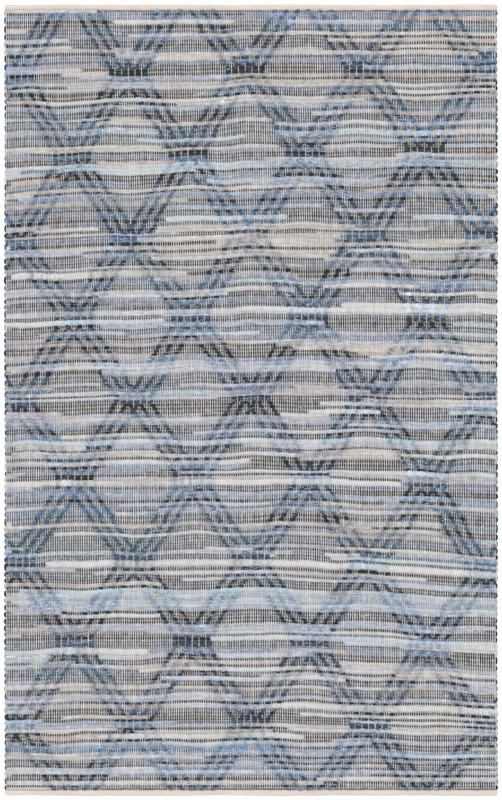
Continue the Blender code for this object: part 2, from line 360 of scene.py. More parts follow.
@dataclass(frozen=True)
class Layout:
    """Where every rag row and warp line of the rug runs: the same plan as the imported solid's.

    Attributes:
        half_width: From the middle line to a selvedge's outermost turn.
        weave_end: From the rug's middle to a heading.
        rows: Rag rows in the whole rug.
        lines_a_side: Warp lines on each side of the middle one.
        diamond_width: One diamond of the trellis across the rug.
        diamond_lines: Warp lines in that width.
        diamond_rows: Rag rows in one diamond.
        first_waist: The first row where the columns beside the middle line draw together.
        waist_rows: Rows on each side of a waist's middle one that are like it.
        waist_floats: A waist's floats on one side of it, in warp lines.
        band_floats: A band's floats, in warp lines from its middle one.
        band_start: Where a band starts beside a waist of an even column.
        odd_band_start: Where it starts beside one of an odd column.
        columns: Columns of waists on each side of the middle line.
        depth_seed: The seed of the rows' unevenness.
        depth_spread: How much a row's depth differs, as a share.
        depth_most: The most that it differs.
        height_spread: How much its crest's height differs.
        crowded_rows: Rows on each side of a fat rag that make room for it.
        swell_run: How far across the rug its end thins out.
        wave: How far rows bend round the trellis's waists.
        sag: How far all rows sag towards the near end.
        bow: How much further their ends sag.
        bow_power: How close to the selvedges this and the leans stay.
        bend_fade: Rows beside a heading over which all bends fade.
        waver: How far rows stray by chance along Y.
        waver_rows: Rows from one chance value of it to the next.
        waver_length: How far apart they are across the rug.
        waver_knots: How many there are across it.
        pull: How far the warp is drawn aside at the far end.
        pull_power: How close to the selvedges this dies away.
        drift: Half of what a selvedge is drawn in by at most.
        drift_length: From one drawn-in place of a selvedge to the next.
        drift_shift: How far these lie up on one selvedge, and down on the other.
    """

    half_width: float
    weave_end: float
    rows: int = 230
    lines_a_side: int = 108
    diamond_width: float = 0.362
    diamond_lines: int = 52
    diamond_rows: int = 48
    first_waist: int = 41
    waist_rows: int = 1
    waist_floats: tuple[float, ...] = (1.5, 4.5, 7.5)
    band_floats: tuple[float, ...] = (-5, 0, 5)
    band_start: float = 1.5
    odd_band_start: float = 0.5
    columns: int = 5
    depth_seed: int = 17
    depth_spread: float = 0.12
    depth_most: float = 0.24
    height_spread: float = 0.0006
    crowded_rows: int = 5
    swell_run: float = 0.08
    wave: float = 0.0035
    sag: float = 0.0040
    bow: float = 0.0080
    bow_power: float = 1.5
    bend_fade: int = 16
    waver: float = 0.0016
    waver_rows: float = 7.0
    waver_length: float = 0.085
    waver_knots: int = 64
    pull: float = 0.0210
    pull_power: float = 3.0
    drift: float = 0.0011
    drift_length: float = 0.94
    drift_shift: float = 0.30

    @property
    def pitch(self) -> float:
        """The distance between two warp lines."""
        return self.diamond_width / self.diamond_lines

    @property
    def gaps(self) -> int:
        """How many gaps there are between warp lines."""
        return 2 * self.lines_a_side

    @property
    def half_steps(self) -> np.ndarray:
        """Every warp line and every place halfway between two, counted from the middle line."""
        return np.arange(-self.gaps, self.gaps + 1) / 2

    def gap_at(self, place: np.ndarray | float) -> np.ndarray:
        """The gap between warp lines, from the left, where each place lies, counted in lines."""
        return np.clip(np.asarray(place + self.lines_a_side).astype(int), 0, self.gaps - 1)

    def depths(self) -> np.ndarray:
        """Each row's share of the length, before the fat rags."""
        dice = random.Random(self.depth_seed)
        depths: list[float] = []
        before = 0.0
        for _ in range(self.rows // 2):
            now = max(-self.depth_most, min(self.depth_most, dice.gauss(0, self.depth_spread)))
            depths += [1 + now - before] * 2
            before = now
        return np.array(depths)

    def lifts(self) -> np.ndarray:
        """How much higher or lower than usual each row's crest is."""
        dice = random.Random(self.depth_seed + 1)
        return np.array([dice.gauss(0, self.height_spread) for _ in range(self.rows)])

    def swells(self, x: np.ndarray) -> np.ndarray:
        """How much deeper fat rags make each row, or thinner where it is crowded by one.

        Args:
            x: Places across the rug.

        Returns:
            One line a row and one column a place.
        """
        swell = np.zeros((self.rows, len(x)))
        for rag in FAT_RAGS:
            inside = np.clip(np.minimum(x - rag.start, rag.end - x) / self.swell_run + 0.5, 0, 1)
            extra = rag.swell * eased(inside)
            crowded = slice(rag.row - self.crowded_rows, rag.row + self.crowded_rows + 1)
            swell[crowded] -= extra / (2 * self.crowded_rows)
            swell[rag.row] += extra * (1 + 1 / (2 * self.crowded_rows))
        return swell

    def bend(self, row: np.ndarray, x: np.ndarray) -> np.ndarray:
        """How far the weave is shifted along Y, by the trellis and where rows run off straight.

        Args:
            row: Places along the rug, counted in rows.
            x: Places across the rug.

        Returns:
            One line a row and one column a place.
        """
        row, x = row[:, None], x[None, :]
        fade = np.minimum(1, np.minimum(row, self.rows - row) / self.bend_fade)
        along = np.sin(2 * math.pi * (row - self.first_waist) / self.diamond_rows)
        wave = -self.wave * along * np.cos(2 * math.pi * x / self.diamond_width)
        lean = np.full(np.broadcast_shapes(row.shape, x.shape), -self.bow)
        for group in ROW_LEANS:
            side = np.where(x > 0, group.right, group.left)
            lean += side * np.exp(-(((row - group.row) / group.fade) ** 2))
        lean *= (np.abs(x) / self.half_width) ** self.bow_power
        return fade * (wave - self.sag + lean + self._waver(row, x))

    def _waver(self, row: np.ndarray, x: np.ndarray) -> np.ndarray:
        """How far rows stray by chance along Y: together with their neighbours, and smoothly.

        Args:
            row: Places along the rug, counted in rows, as a column.
            x: Places across the rug, as a line.

        Returns:
            The distance at each place.
        """
        dice = np.random.default_rng(self.depth_seed)
        size = (int(self.rows / self.waver_rows) + 2, self.waver_knots)
        knots = dice.normal(0, self.waver, size)
        down = row / self.waver_rows
        across = (x + self.half_width) / self.waver_length
        i, j = down.astype(int), across.astype(int)
        ease_down, ease_across = eased(down - i), eased(across - j)
        upper = knots[i, j] + (knots[i, j + 1] - knots[i, j]) * ease_across
        lower = knots[i + 1, j] + (knots[i + 1, j + 1] - knots[i + 1, j]) * ease_across
        return upper + (lower - upper) * ease_down

    def drawn_aside(self, points: np.ndarray) -> np.ndarray:
        """Draws points of the weave to the left towards the far end, most in the rug's middle.

        Args:
            points: The points where they would lie on straight warp lines.

        Returns:
            The points where they lie.
        """
        points = points.copy()
        x, y = points[..., 0], points[..., 1]
        middle = np.maximum(0, 1 - (np.abs(x) / self.half_width) ** self.pull_power)
        points[..., 0] = x - self.pull * middle * np.maximum(0, y / self.weave_end)
        return points

    def row_lines(self, x: np.ndarray) -> np.ndarray:
        """The y of each row's boundaries and crest, from the far end to the near one.

        Args:
            x: Places across the rug.

        Returns:
            A boundary, a crest, a boundary and so on down the lines, one column a place.
        """
        depth = self.depths()[:, None] + self.swells(x)
        edges = np.vstack([np.zeros((1, len(x))), np.cumsum(depth, axis=0)])
        edges *= 2 * self.weave_end / edges[-1]
        lines = np.empty((2 * self.rows + 1, len(x)))
        lines[0::2] = self.weave_end - edges
        lines[1::2] = self.weave_end - (edges[:-1] + edges[1:]) / 2
        return lines + self.bend(np.arange(2 * self.rows + 1) / 2, x)

    def bands(self, row: int) -> list[tuple[float, int]]:
        """Where a row's rag passes over two warp lines at once, as the trellis charts it.

        From each waist a band of three floats spreads to either side by a line a row. The waists of
        one column lie halfway between those of the next. At a waist six floats lie side by side.

        Args:
            row: The row.

        Returns:
            Each float's middle, counted in warp lines, and which way its band moves as rows go
            down: 1 for right, -1 for left, 0 at a waist.
        """
        floats = []
        half = self.diamond_rows // 2
        for column in range(-self.columns, self.columns + 1):
            odd = column % 2 == 1
            waist = self.first_waist + (0 if odd else half)
            since = (row - waist + half) % self.diamond_rows - half
            away = abs(since)
            if away > half // 2:
                continue
            if away <= self.waist_rows:
                centres, moves = self.waist_floats, 0
            else:
                start = away + (self.odd_band_start if odd else self.band_start)
                centres, moves = [start + place for place in self.band_floats], (1 if since > 0 else -1)
            middle = column * self.diamond_lines / 2
            for side in (-1, 1):
                floats += [(middle + side * centre, side * moves) for centre in centres]
        return floats

    def floats(self) -> tuple[np.ndarray, np.ndarray]:
        """Charts the floats at every warp line and halfway between two.

        Returns:
            One line a row and one column a place: 1 where the rag floats and FLOAT_END at its ends,
            then how far it leans along Y, where 1 is the float's own lean at its end.
        """
        half_steps = self.half_steps
        floated = np.zeros((self.rows, len(half_steps)))
        lean = np.zeros_like(floated)
        for row in range(self.rows):
            for middle, moves in self.bands(row):
                offset = half_steps - middle
                near = np.abs(offset) <= 1
                freedom = np.where(np.abs(offset[near]) < 1, 1, FLOAT_END)
                floated[row, near] = np.maximum(floated[row, near], freedom)
                lean[row, near] -= moves * offset[near]
        return floated, lean

    def selvedge_drift(self, y: np.ndarray, side: int) -> np.ndarray:
        """How far a selvedge is drawn in: the left one for a side of -1, the right one for 1."""
        turn = 2 * math.pi * (y + side * self.drift_shift) / self.drift_length
        return self.drift * (1 - np.cos(turn))


# ---- which rag goes where


@dataclass
class RagPlan:
    """Which rag each row holds, from one warp line to the next and on across the rug.

    The patches are laid first, then the rags that stand out. The weft fills the rows between them, to
    and fro, one rag after the other, and balances dark and light over neighbouring rows.

    Attributes:
        layout: Where the rows run.
        seed: The seed of what is left to chance.
        shortest: The shortest rag of the weft.
        longest: The longest one.
        dark: How much light a dark cloth gives back at most, 0 to 1.
        repeat_share: How often a rag is as dark or light as the last one, against chance.
        cut_share: How many rags that reach a selvedge end there.
        usual_tone: How light the weft looks, 0 to 1.
        balance: How strongly dark rows call for light rags, and light ones for dark.
        balance_rows: Rows on each side that this looks at.
        stray: How far a patch's rags end from its edges at most, in TICKs.
        denims: The cloths of the thin denim strips.
        strip_tones: Their darkest and lightest tone, where 1 is their cloth's own.
        cloth: The cloth in each gap of each row, as its place in FINISHES.
        rag: The rag in each, as its place in the next two.
        colours: Each rag's colour, linear.
        kinds: Each rag's cloth, as its place in FINISHES.
    """

    layout: Layout
    seed: int = 5
    shortest: float = 0.18
    longest: float = 1.5
    dark: float = 0.10
    repeat_share: float = 0.26
    cut_share: float = 0.75
    usual_tone: float = 0.48
    balance: float = 44.0
    balance_rows: int = 5
    stray: float = 16.0
    denims: tuple[Cloth, ...] = (
        Cloth.NAVY, Cloth.NAVY, Cloth.DARK, Cloth.DARK, Cloth.MID, Cloth.TEAL,
    )
    strip_tones: Span = (0.6, 1.7)
    cloth: np.ndarray = field(init=False)
    rag: np.ndarray = field(init=False)
    colours: list[Vector3] = field(init=False, default_factory=list)
    kinds: list[int] = field(init=False, default_factory=list)

    def __post_init__(self) -> None:
        """Lays the patches, then the streaks, then the weft between them."""
        layout = self.layout
        self.dice = random.Random(self.seed)
        self.cloth = np.full((layout.rows, layout.gaps), -1)
        self.rag = np.full((layout.rows, layout.gaps), -1)
        self.tones = np.array([finish.tone for finish in FINISHES])
        middles = (np.arange(layout.gaps) + 0.5 - layout.lines_a_side) * layout.pitch
        self.crests = layout.row_lines(middles)[1::2]
        self._lay_patches()
        self._lay_streaks()
        self._lay_weft()
        self.denim = self._denim_strips()

    def _new_rag(self, kind: int) -> int:
        """Adds a rag of a cloth, with a colour of its own.

        Args:
            kind: The cloth's place in FINISHES.

        Returns:
            The rag's number.
        """
        finish = FINISHES[kind]
        tone = 1 + self.dice.uniform(-1, 1) * finish.spread
        drift = [1 + self.dice.uniform(-1, 1) * finish.drift for _ in range(3)]
        self.colours.append(tuple(c * tone * d for c, d in zip(finish.colour, drift, strict=True)))
        self.kinds.append(kind)
        return len(self.colours) - 1

    def _any_cloth(self, before: int, around: np.ndarray) -> int:
        """Picks the next rag's cloth.

        Args:
            before: The cloth of the rag before, which isn't taken again. One that is as dark or as
                light comes up less often.
            around: The cloths in the rows around, which it balances.

        Returns:
            The cloth's place in FINISHES.
        """
        was_dark = FINISHES[before].light < self.dark
        laid = self.tones[around[around >= 0]]
        excess = laid.mean() - self.usual_tone if laid.size else 0.0
        weights = []
        for kind, finish in enumerate(FINISHES):
            alike = (finish.light < self.dark) == was_dark
            chance = 0 if kind == before else finish.common * (self.repeat_share if alike else 1)
            off = (self.tones[kind] - self.usual_tone) * excess
            weights.append(chance * math.exp(-self.balance * off))
        return self.dice.choices(range(len(FINISHES)), weights)[0]

    def _lay_weft(self) -> None:
        """Fills the rows to and fro with rags of chance length and cloth, joined end to end."""
        rows, gaps = self.cloth.shape
        at, kind = 0, 0
        while at < rows * gaps:
            length = self.dice.uniform(self.shortest, self.longest)
            after = min(rows * gaps, at + round(length / self.layout.pitch))
            selvedge = (at // gaps + 1) * gaps
            if after > selvedge and self.dice.random() < self.cut_share:
                after = selvedge
            row, gap = np.divmod(np.arange(at, after), gaps)
            gap = np.where(row % 2, gaps - 1 - gap, gap)
            near = slice(max(0, row[0] - self.balance_rows), row[0] + self.balance_rows + 1)
            kind = self._any_cloth(kind, self.cloth[near, gap.min() : gap.max() + 1])
            free = self.cloth[row, gap] < 0
            self.cloth[row[free], gap[free]] = kind
            self.rag[row[free], gap[free]] = self._new_rag(kind)
            at = after

    def _denim_strips(self) -> np.ndarray:
        """Lays thin denim strips along the rags, which show where these float.

        Returns:
            One colour for each gap between warp lines, row by row.
        """
        strips = np.empty((self.cloth.size, 3))
        at = 0
        while at < len(strips):
            length = self.dice.uniform(self.shortest, self.longest) / 2
            after = at + round(length / self.layout.pitch)
            denim = FINISHES[KINDS[self.dice.choice(self.denims)]]
            strips[at:after] = np.array(denim.colour) * self.dice.uniform(*self.strip_tones)
            at = after
        return strips.reshape(*self.cloth.shape, 3)

    def _across(self, left: float, right: float) -> slice:
        """The gaps between warp lines from one place of a table to another."""
        start, stop = (
            round((ticks - TICKS_LEFT) * TICK / self.layout.pitch) + self.layout.lines_a_side
            for ticks in (left, right)
        )
        return slice(max(0, start), min(self.layout.gaps, stop))

    def _row_at(self, down: float, across: slice) -> int:
        """The row that lies nearest to a streak's place."""
        y = (TICKS_UP - down) * TICK
        return int(np.argmin(np.abs(self.crests[:, across].mean(axis=1) - y)))

    def _lay(self, row: int, across: slice, kind: int) -> None:
        """Lays one rag into part of a row."""
        self.cloth[row, across] = kind
        self.rag[row, across] = self._new_rag(kind)

    def _lay_patches(self) -> None:
        """Lays rags of the patches' cloths, a share of each patch's rows."""
        for cloth, patches in PATCHES.items():
            for patch in patches:
                across = self._across(patch.left, patch.right)
                first, last = self._row_at(patch.top, across), self._row_at(patch.bottom, across)
                for row in range(first, last + 1):
                    if self.dice.random() < patch.share:
                        left = patch.left + self.dice.uniform(-1, 1) * self.stray
                        right = patch.right + self.dice.uniform(-1, 1) * self.stray
                        self._lay(row, self._across(left, right), KINDS[cloth])

    def _lay_streaks(self) -> None:
        """Lays the rags that stand out."""
        for cloth, streaks in STREAKS.items():
            for streak in streaks:
                across = self._across(streak.left, streak.right)
                self._lay(self._row_at(streak.down, across), across, KINDS[cloth])


# ---- meshes


@dataclass
class Strip:
    """One strip of a mesh: stations along it, each with the same number of points across.

    Attributes:
        points: Stations by points across by three.
        along: Each station's place along the strip.
        across: Each point's place across it.
        colour: The strip's colour, linear, or one for each point.
        tied: How firmly the warp ties each station or point down, 0 to 1.
    """

    points: np.ndarray
    along: np.ndarray
    across: np.ndarray
    colour: np.ndarray
    tied: np.ndarray = field(default_factory=lambda: np.ones((1, 1)))


@dataclass
class StripMesh:
    """A piece made of many strips, which its finish reads by their own length and width.

    Attributes:
        name: The piece's name.
        layout: Where the weave's warp lines run, for a piece that follows them.
        strips: The strips so far.
        BAKE_SHAPE: How high the piece is laid out flat, against its width.
        BAKE_MARGIN: The share of a line's height that stays empty on each side of its strips.
    """

    name: str
    layout: Layout | None = None
    strips: list[Strip] = field(default_factory=list)

    BAKE_SHAPE: ClassVar[float] = 0.8
    BAKE_MARGIN: ClassVar[float] = 0.12

    def _corners(self) -> np.ndarray:
        """The four point numbers at the corners of every face."""
        faces, start = [], 0
        for strip in self.strips:
            stations, count = strip.points.shape[:2]
            numbers = start + np.arange(stations * count).reshape(stations, count)
            a, b = numbers[:-1, :-1], numbers[1:, :-1]
            c, d = numbers[1:, 1:], numbers[:-1, 1:]
            faces.append(np.stack([a, b, c, d], axis=-1).reshape(-1, 4))
            start += stations * count
        return np.concatenate(faces)

    def _flat_places(self) -> np.ndarray:
        """Each face's corners laid out flat, strips folded into lines one under the other.

        Returns:
            Four corners a face, in the faces' order.
        """
        lengths, widths = [], []
        for strip in self.strips:
            lengths.append(np.linalg.norm(np.diff(strip.points, axis=0), axis=2).mean(axis=1))
            widths.append(np.linalg.norm(np.diff(strip.points, axis=1), axis=2).mean(axis=0))
        total = sum(step.sum() for step in lengths)
        width = float(np.median([across.sum() for across in widths]))
        lines = max(1, round(math.sqrt(self.BAKE_SHAPE * total / width)))
        line_length = total / lines
        longest = max(step.max() for step in lengths)
        margin, places, done = self.BAKE_MARGIN, [], 0.0
        for step, across in zip(lengths, widths, strict=True):
            start = done + np.concatenate([[0], np.cumsum(step)[:-1]])
            line = np.minimum(np.floor(start / line_length), lines - 1)
            u0 = (start - line * line_length) / (line_length + longest)
            u1 = u0 + step / (line_length + longest)
            share = np.concatenate([[0], np.cumsum(across)]) / across.sum()
            v = (line[:, None] + margin + (1 - 2 * margin) * share[None, :]) / lines
            u0, u1 = (np.repeat(u[:, None], len(across), 1) for u in (u0, u1))
            low, high = v[:, :-1], v[:, 1:]
            corners = [(u0, low), (u1, low), (u1, high), (u0, high)]
            places.append(np.stack([np.stack(c, -1) for c in corners], 2).reshape(-1, 2))
            done += step.sum()
        return np.concatenate(places)

    def build(self, material: bpy.types.Material) -> bpy.types.Object:
        """Makes the piece as one smooth mesh.

        Args:
            material: Its finish.

        Returns:
            The object, linked to the scene.
        """
        faces = self._corners()
        straight = np.concatenate([strip.points.reshape(-1, 3) for strip in self.strips])
        points = self.layout.drawn_aside(straight) if self.layout else straight
        mesh = bpy.data.meshes.new(self.name)
        mesh.vertices.add(len(points))
        mesh.vertices.foreach_set("co", points.astype(np.float32).ravel())
        mesh.loops.add(faces.size)
        mesh.loops.foreach_set("vertex_index", faces.astype(np.int32).ravel())
        mesh.polygons.add(len(faces))
        mesh.polygons.foreach_set("loop_start", np.arange(0, faces.size, 4, dtype=np.int32))
        mesh.polygons.foreach_set("use_smooth", np.ones(len(faces), bool))
        mesh.update(calc_edges=True)
        self._write_layers(mesh, faces)
        if self.layout:
            line = mesh.attributes.new("warp_line", "FLOAT", "POINT")
            line.data.foreach_set("value", (straight[:, 0] / self.layout.pitch).astype(np.float32))
        mesh.materials.append(material)
        obj = bpy.data.objects.new(self.name, mesh)
        bpy.context.scene.collection.objects.link(obj)
        return obj

    def _write_layers(self, mesh: bpy.types.Mesh, faces: np.ndarray) -> None:
        """Writes what the finishes read: places along and across, colours, and ties.

        Args:
            mesh: The mesh to write to.
            faces: Its faces' corners.
        """
        places, colours, ties = [], [], []
        for strip in self.strips:
            stations, count = strip.points.shape[:2]
            along = np.repeat(strip.along[:, None], count, 1)
            across = np.repeat(strip.across[None, :], stations, 0)
            places.append(np.stack([along, across], -1).reshape(-1, 2))
            colour = np.broadcast_to(strip.colour, (stations, count, 3)).reshape(-1, 3)
            colours.append(np.hstack([colour, np.ones((stations * count, 1))]))
            ties.append(np.broadcast_to(strip.tied, (stations, count)).ravel())
        uv = mesh.uv_layers.new(name="strip")
        uv.data.foreach_set("uv", np.concatenate(places)[faces.ravel()].astype(np.float32).ravel())
        flat = mesh.uv_layers.new(name="OFBake")
        flat.data.foreach_set("uv", self._flat_places().astype(np.float32).ravel())
        colour = mesh.attributes.new("rag_colour", "FLOAT_COLOR", "POINT")
        colour.data.foreach_set("color", np.concatenate(colours).astype(np.float32).ravel())
        tied = mesh.attributes.new("tied", "FLOAT", "POINT")
        tied.data.foreach_set("value", np.concatenate(ties).astype(np.float32))


ROUND_SIDES = np.array([-1.0, 0.0, 1.0])  # a thread's edges and its middle


@dataclass(frozen=True)
class Sway:
    """A measure that sways smoothly to and fro by chance.

    Attributes:
        reach: How far it mostly sways to either side.
        step: Places from one chance value to the next.
    """

    reach: float
    step: int

    def over(self, dice: np.random.Generator, shape: tuple[int, int]) -> np.ndarray:
        """Draws the sway.

        Args:
            dice: The source of chance.
            shape: Rows and places a row.

        Returns:
            The sway at each place.
        """
        rows, count = shape
        knots = dice.normal(0, 0.5, (rows, count // self.step + 2))
        place = np.arange(count) / self.step
        first = place.astype(int)
        share = eased(place - first)
        return self.reach * (knots[:, first] * (1 - share) + knots[:, first + 1] * share)


# ---- finishes


class Grain(NamedTuple):
    """Noise on a surface.

    Attributes:
        stretch: Its features to one unit of its place, each way.
        low: The noise that counts as none of it.
        high: The noise that counts as all of it.
        detail: How many finer layers it has.
        rough: How strong these are.
    """

    stretch: Vector3
    low: float = 0
    high: float = 1
    detail: float = 2
    rough: float = 0.5


class Graph:
    """A material's nodes, with short calls for those that the finishes share."""

    SHEEN_ROUGHNESS: ClassVar[float] = 0.6
    SPECULAR: ClassVar[float] = 0.2
    ROUGH_LOW: ClassVar[float] = 0.2
    ROUGH_HIGH: ClassVar[float] = 0.8

    def __init__(self, name: str) -> None:
        """Starts a material.

        Args:
            name: The material's name.
        """
        self.material = bpy.data.materials.new(name)
        self.material.use_nodes = True
        self.nodes = self.material.node_tree.nodes
        self.shader = self.nodes["Principled BSDF"]

    def node(self, kind: str, **settings: object) -> bpy.types.Node:
        """Adds a node.

        Args:
            kind: Its type, without the leading ShaderNode.
            settings: Properties to set on it.

        Returns:
            The node.
        """
        node = self.nodes.new("ShaderNode" + kind)
        for key, value in settings.items():
            setattr(node, key, value)
        return node

    def feed(self, socket: Socket, value: Number | Colour) -> None:
        """Links a socket, or sets its value.

        Args:
            socket: The input.
            value: What feeds it.
        """
        if isinstance(value, Socket):
            self.material.node_tree.links.new(value, socket)
        else:
            socket.default_value = value

    def math(self, operation: str, *values: Number) -> Socket:
        """Does arithmetic.

        Args:
            operation: The operation's name.
            values: Its operands.

        Returns:
            The result.
        """
        node = self.node("Math", operation=operation)
        for socket, value in zip(node.inputs, values, strict=False):
            self.feed(socket, value)
        return node.outputs[0]

    def product(self, first: Socket, *others: Number) -> Socket:
        """Multiplies values with each other.

        Args:
            first: The first value.
            others: The others.

        Returns:
            The product.
        """
        for other in others:
            first = self.math("MULTIPLY", first, other)
        return first

    def ramp(
        self, value: Socket, start: Number, end: Number, low: float = 0, high: float = 1
    ) -> Socket:
        """Maps a range of a value smoothly to another, and holds it at the ends.

        Args:
            value: The value.
            start: Where its range starts.
            end: Where it ends.
            low: What it becomes at the start.
            high: What it becomes at the end.

        Returns:
            The new value.
        """
        node = self.node("MapRange", interpolation_type="SMOOTHSTEP")
        for socket, number in zip(node.inputs, (value, start, end, low, high), strict=False):
            self.feed(socket, number)
        return node.outputs[0]

    def noise(self, place: Socket, grain: Grain) -> Socket:
        """Adds noise.

        Args:
            place: Where it is looked up.
            grain: The noise.

        Returns:
            Its own value, about 0 to 1.
        """
        mapping = self.node("Mapping")
        self.feed(mapping.inputs["Vector"], place)
        mapping.inputs["Scale"].default_value = grain.stretch
        node = self.node("TexNoise")
        self.feed(node.inputs["Vector"], mapping.outputs[0])
        node.inputs["Scale"].default_value = 1.0
        node.inputs["Detail"].default_value = grain.detail
        node.inputs["Roughness"].default_value = grain.rough
        return node.outputs["Fac"]

    def shade(self, noise: Socket, grain: Grain, low: float, high: float) -> Socket:
        """Maps a grain's noise smoothly to a low value where it counts as none, and a high one."""
        return self.ramp(noise, grain.low, grain.high, low, high)

    def mix(self, share: Number, a: Colour, b: Colour) -> Socket:
        """Mixes two colours.

        Args:
            share: How much of the second.
            a: The first colour.
            b: The second colour.

        Returns:
            The mixed colour.
        """
        node = self.node("Mix", data_type="RGBA")
        self.feed(node.inputs["Factor"], share)
        inputs = (socket for socket in node.inputs if socket.type == "RGBA")
        for socket, colour in zip(inputs, (a, b), strict=True):
            self.feed(socket, colour if isinstance(colour, Socket) else (*colour, 1.0))
        return next(socket for socket in node.outputs if socket.type == "RGBA")

    def scaled(self, colour: Colour, share: Socket) -> Socket:
        """Makes a colour lighter or darker.

        Args:
            colour: The colour.
            share: What it is multiplied by.

        Returns:
            The new colour.
        """
        node = self.node("VectorMath", operation="SCALE")
        self.feed(node.inputs[0], colour)
        self.feed(node.inputs["Scale"], share)
        return node.outputs[0]

    def bumps(self, *layers: tuple[Socket, float]) -> Socket:
        """Stacks bumps on the surface.

        Args:
            layers: Heights from 0 to 1, each with what 1 stands for in metres.

        Returns:
            The surface's new normal.
        """
        normal = None
        for height, distance in layers:
            node = self.node("Bump")
            self.feed(node.inputs["Height"], height)
            node.inputs["Strength"].default_value = 1.0
            node.inputs["Distance"].default_value = distance
            if normal is not None:
                self.feed(node.inputs["Normal"], normal)
            normal = node.outputs[0]
        return normal

    def roughness(self, noise: Socket, low: float, high: float) -> Socket:
        """Lets the roughness follow a noise, from its low value to its high one."""
        return self.ramp(noise, self.ROUGH_LOW, self.ROUGH_HIGH, low, high)

    def finish(self, colour: Socket, rough: Socket, normal: Socket, sheen: float) -> bpy.types.Material:
        """Sets the shader.

        Args:
            colour: The base colour.
            rough: The roughness.
            normal: The bumped normal.
            sheen: How much soft light the cloth's nap catches.

        Returns:
            The material.
        """
        self.feed(self.shader.inputs["Base Color"], colour)
        self.feed(self.shader.inputs["Roughness"], rough)
        self.feed(self.shader.inputs["Normal"], normal)
        self.shader.inputs["Sheen Weight"].default_value = sheen
        self.shader.inputs["Sheen Roughness"].default_value = self.SHEEN_ROUGHNESS
        self.shader.inputs["Specular IOR Level"].default_value = self.SPECULAR
        return self.material

    def strip_place(self) -> tuple[Socket, Socket, Socket]:
        """Reads the place along and across a strip.

        Returns:
            The place as a vector, then along and across it.
        """
        uv = self.node("UVMap", uv_map="strip").outputs[0]
        parts = self.node("SeparateXYZ")
        self.feed(parts.inputs[0], uv)
        return uv, parts.outputs[0], parts.outputs[1]

    def attribute(self, name: str, output: str) -> Socket:
        """Reads a layer of the mesh: its Color, or its Fac where it is one number."""
        return self.node("Attribute", attribute_name=name, attribute_type="GEOMETRY").outputs[output]

    def wave(self, value: Socket, length: float) -> Socket:
        """Makes a wave of a value, from 0 to 1 and back over a length."""
        angle = self.math("MULTIPLY", value, 2 * math.pi / length)
        return self.math("MULTIPLY_ADD", self.math("SINE", angle), 0.5, 0.5)


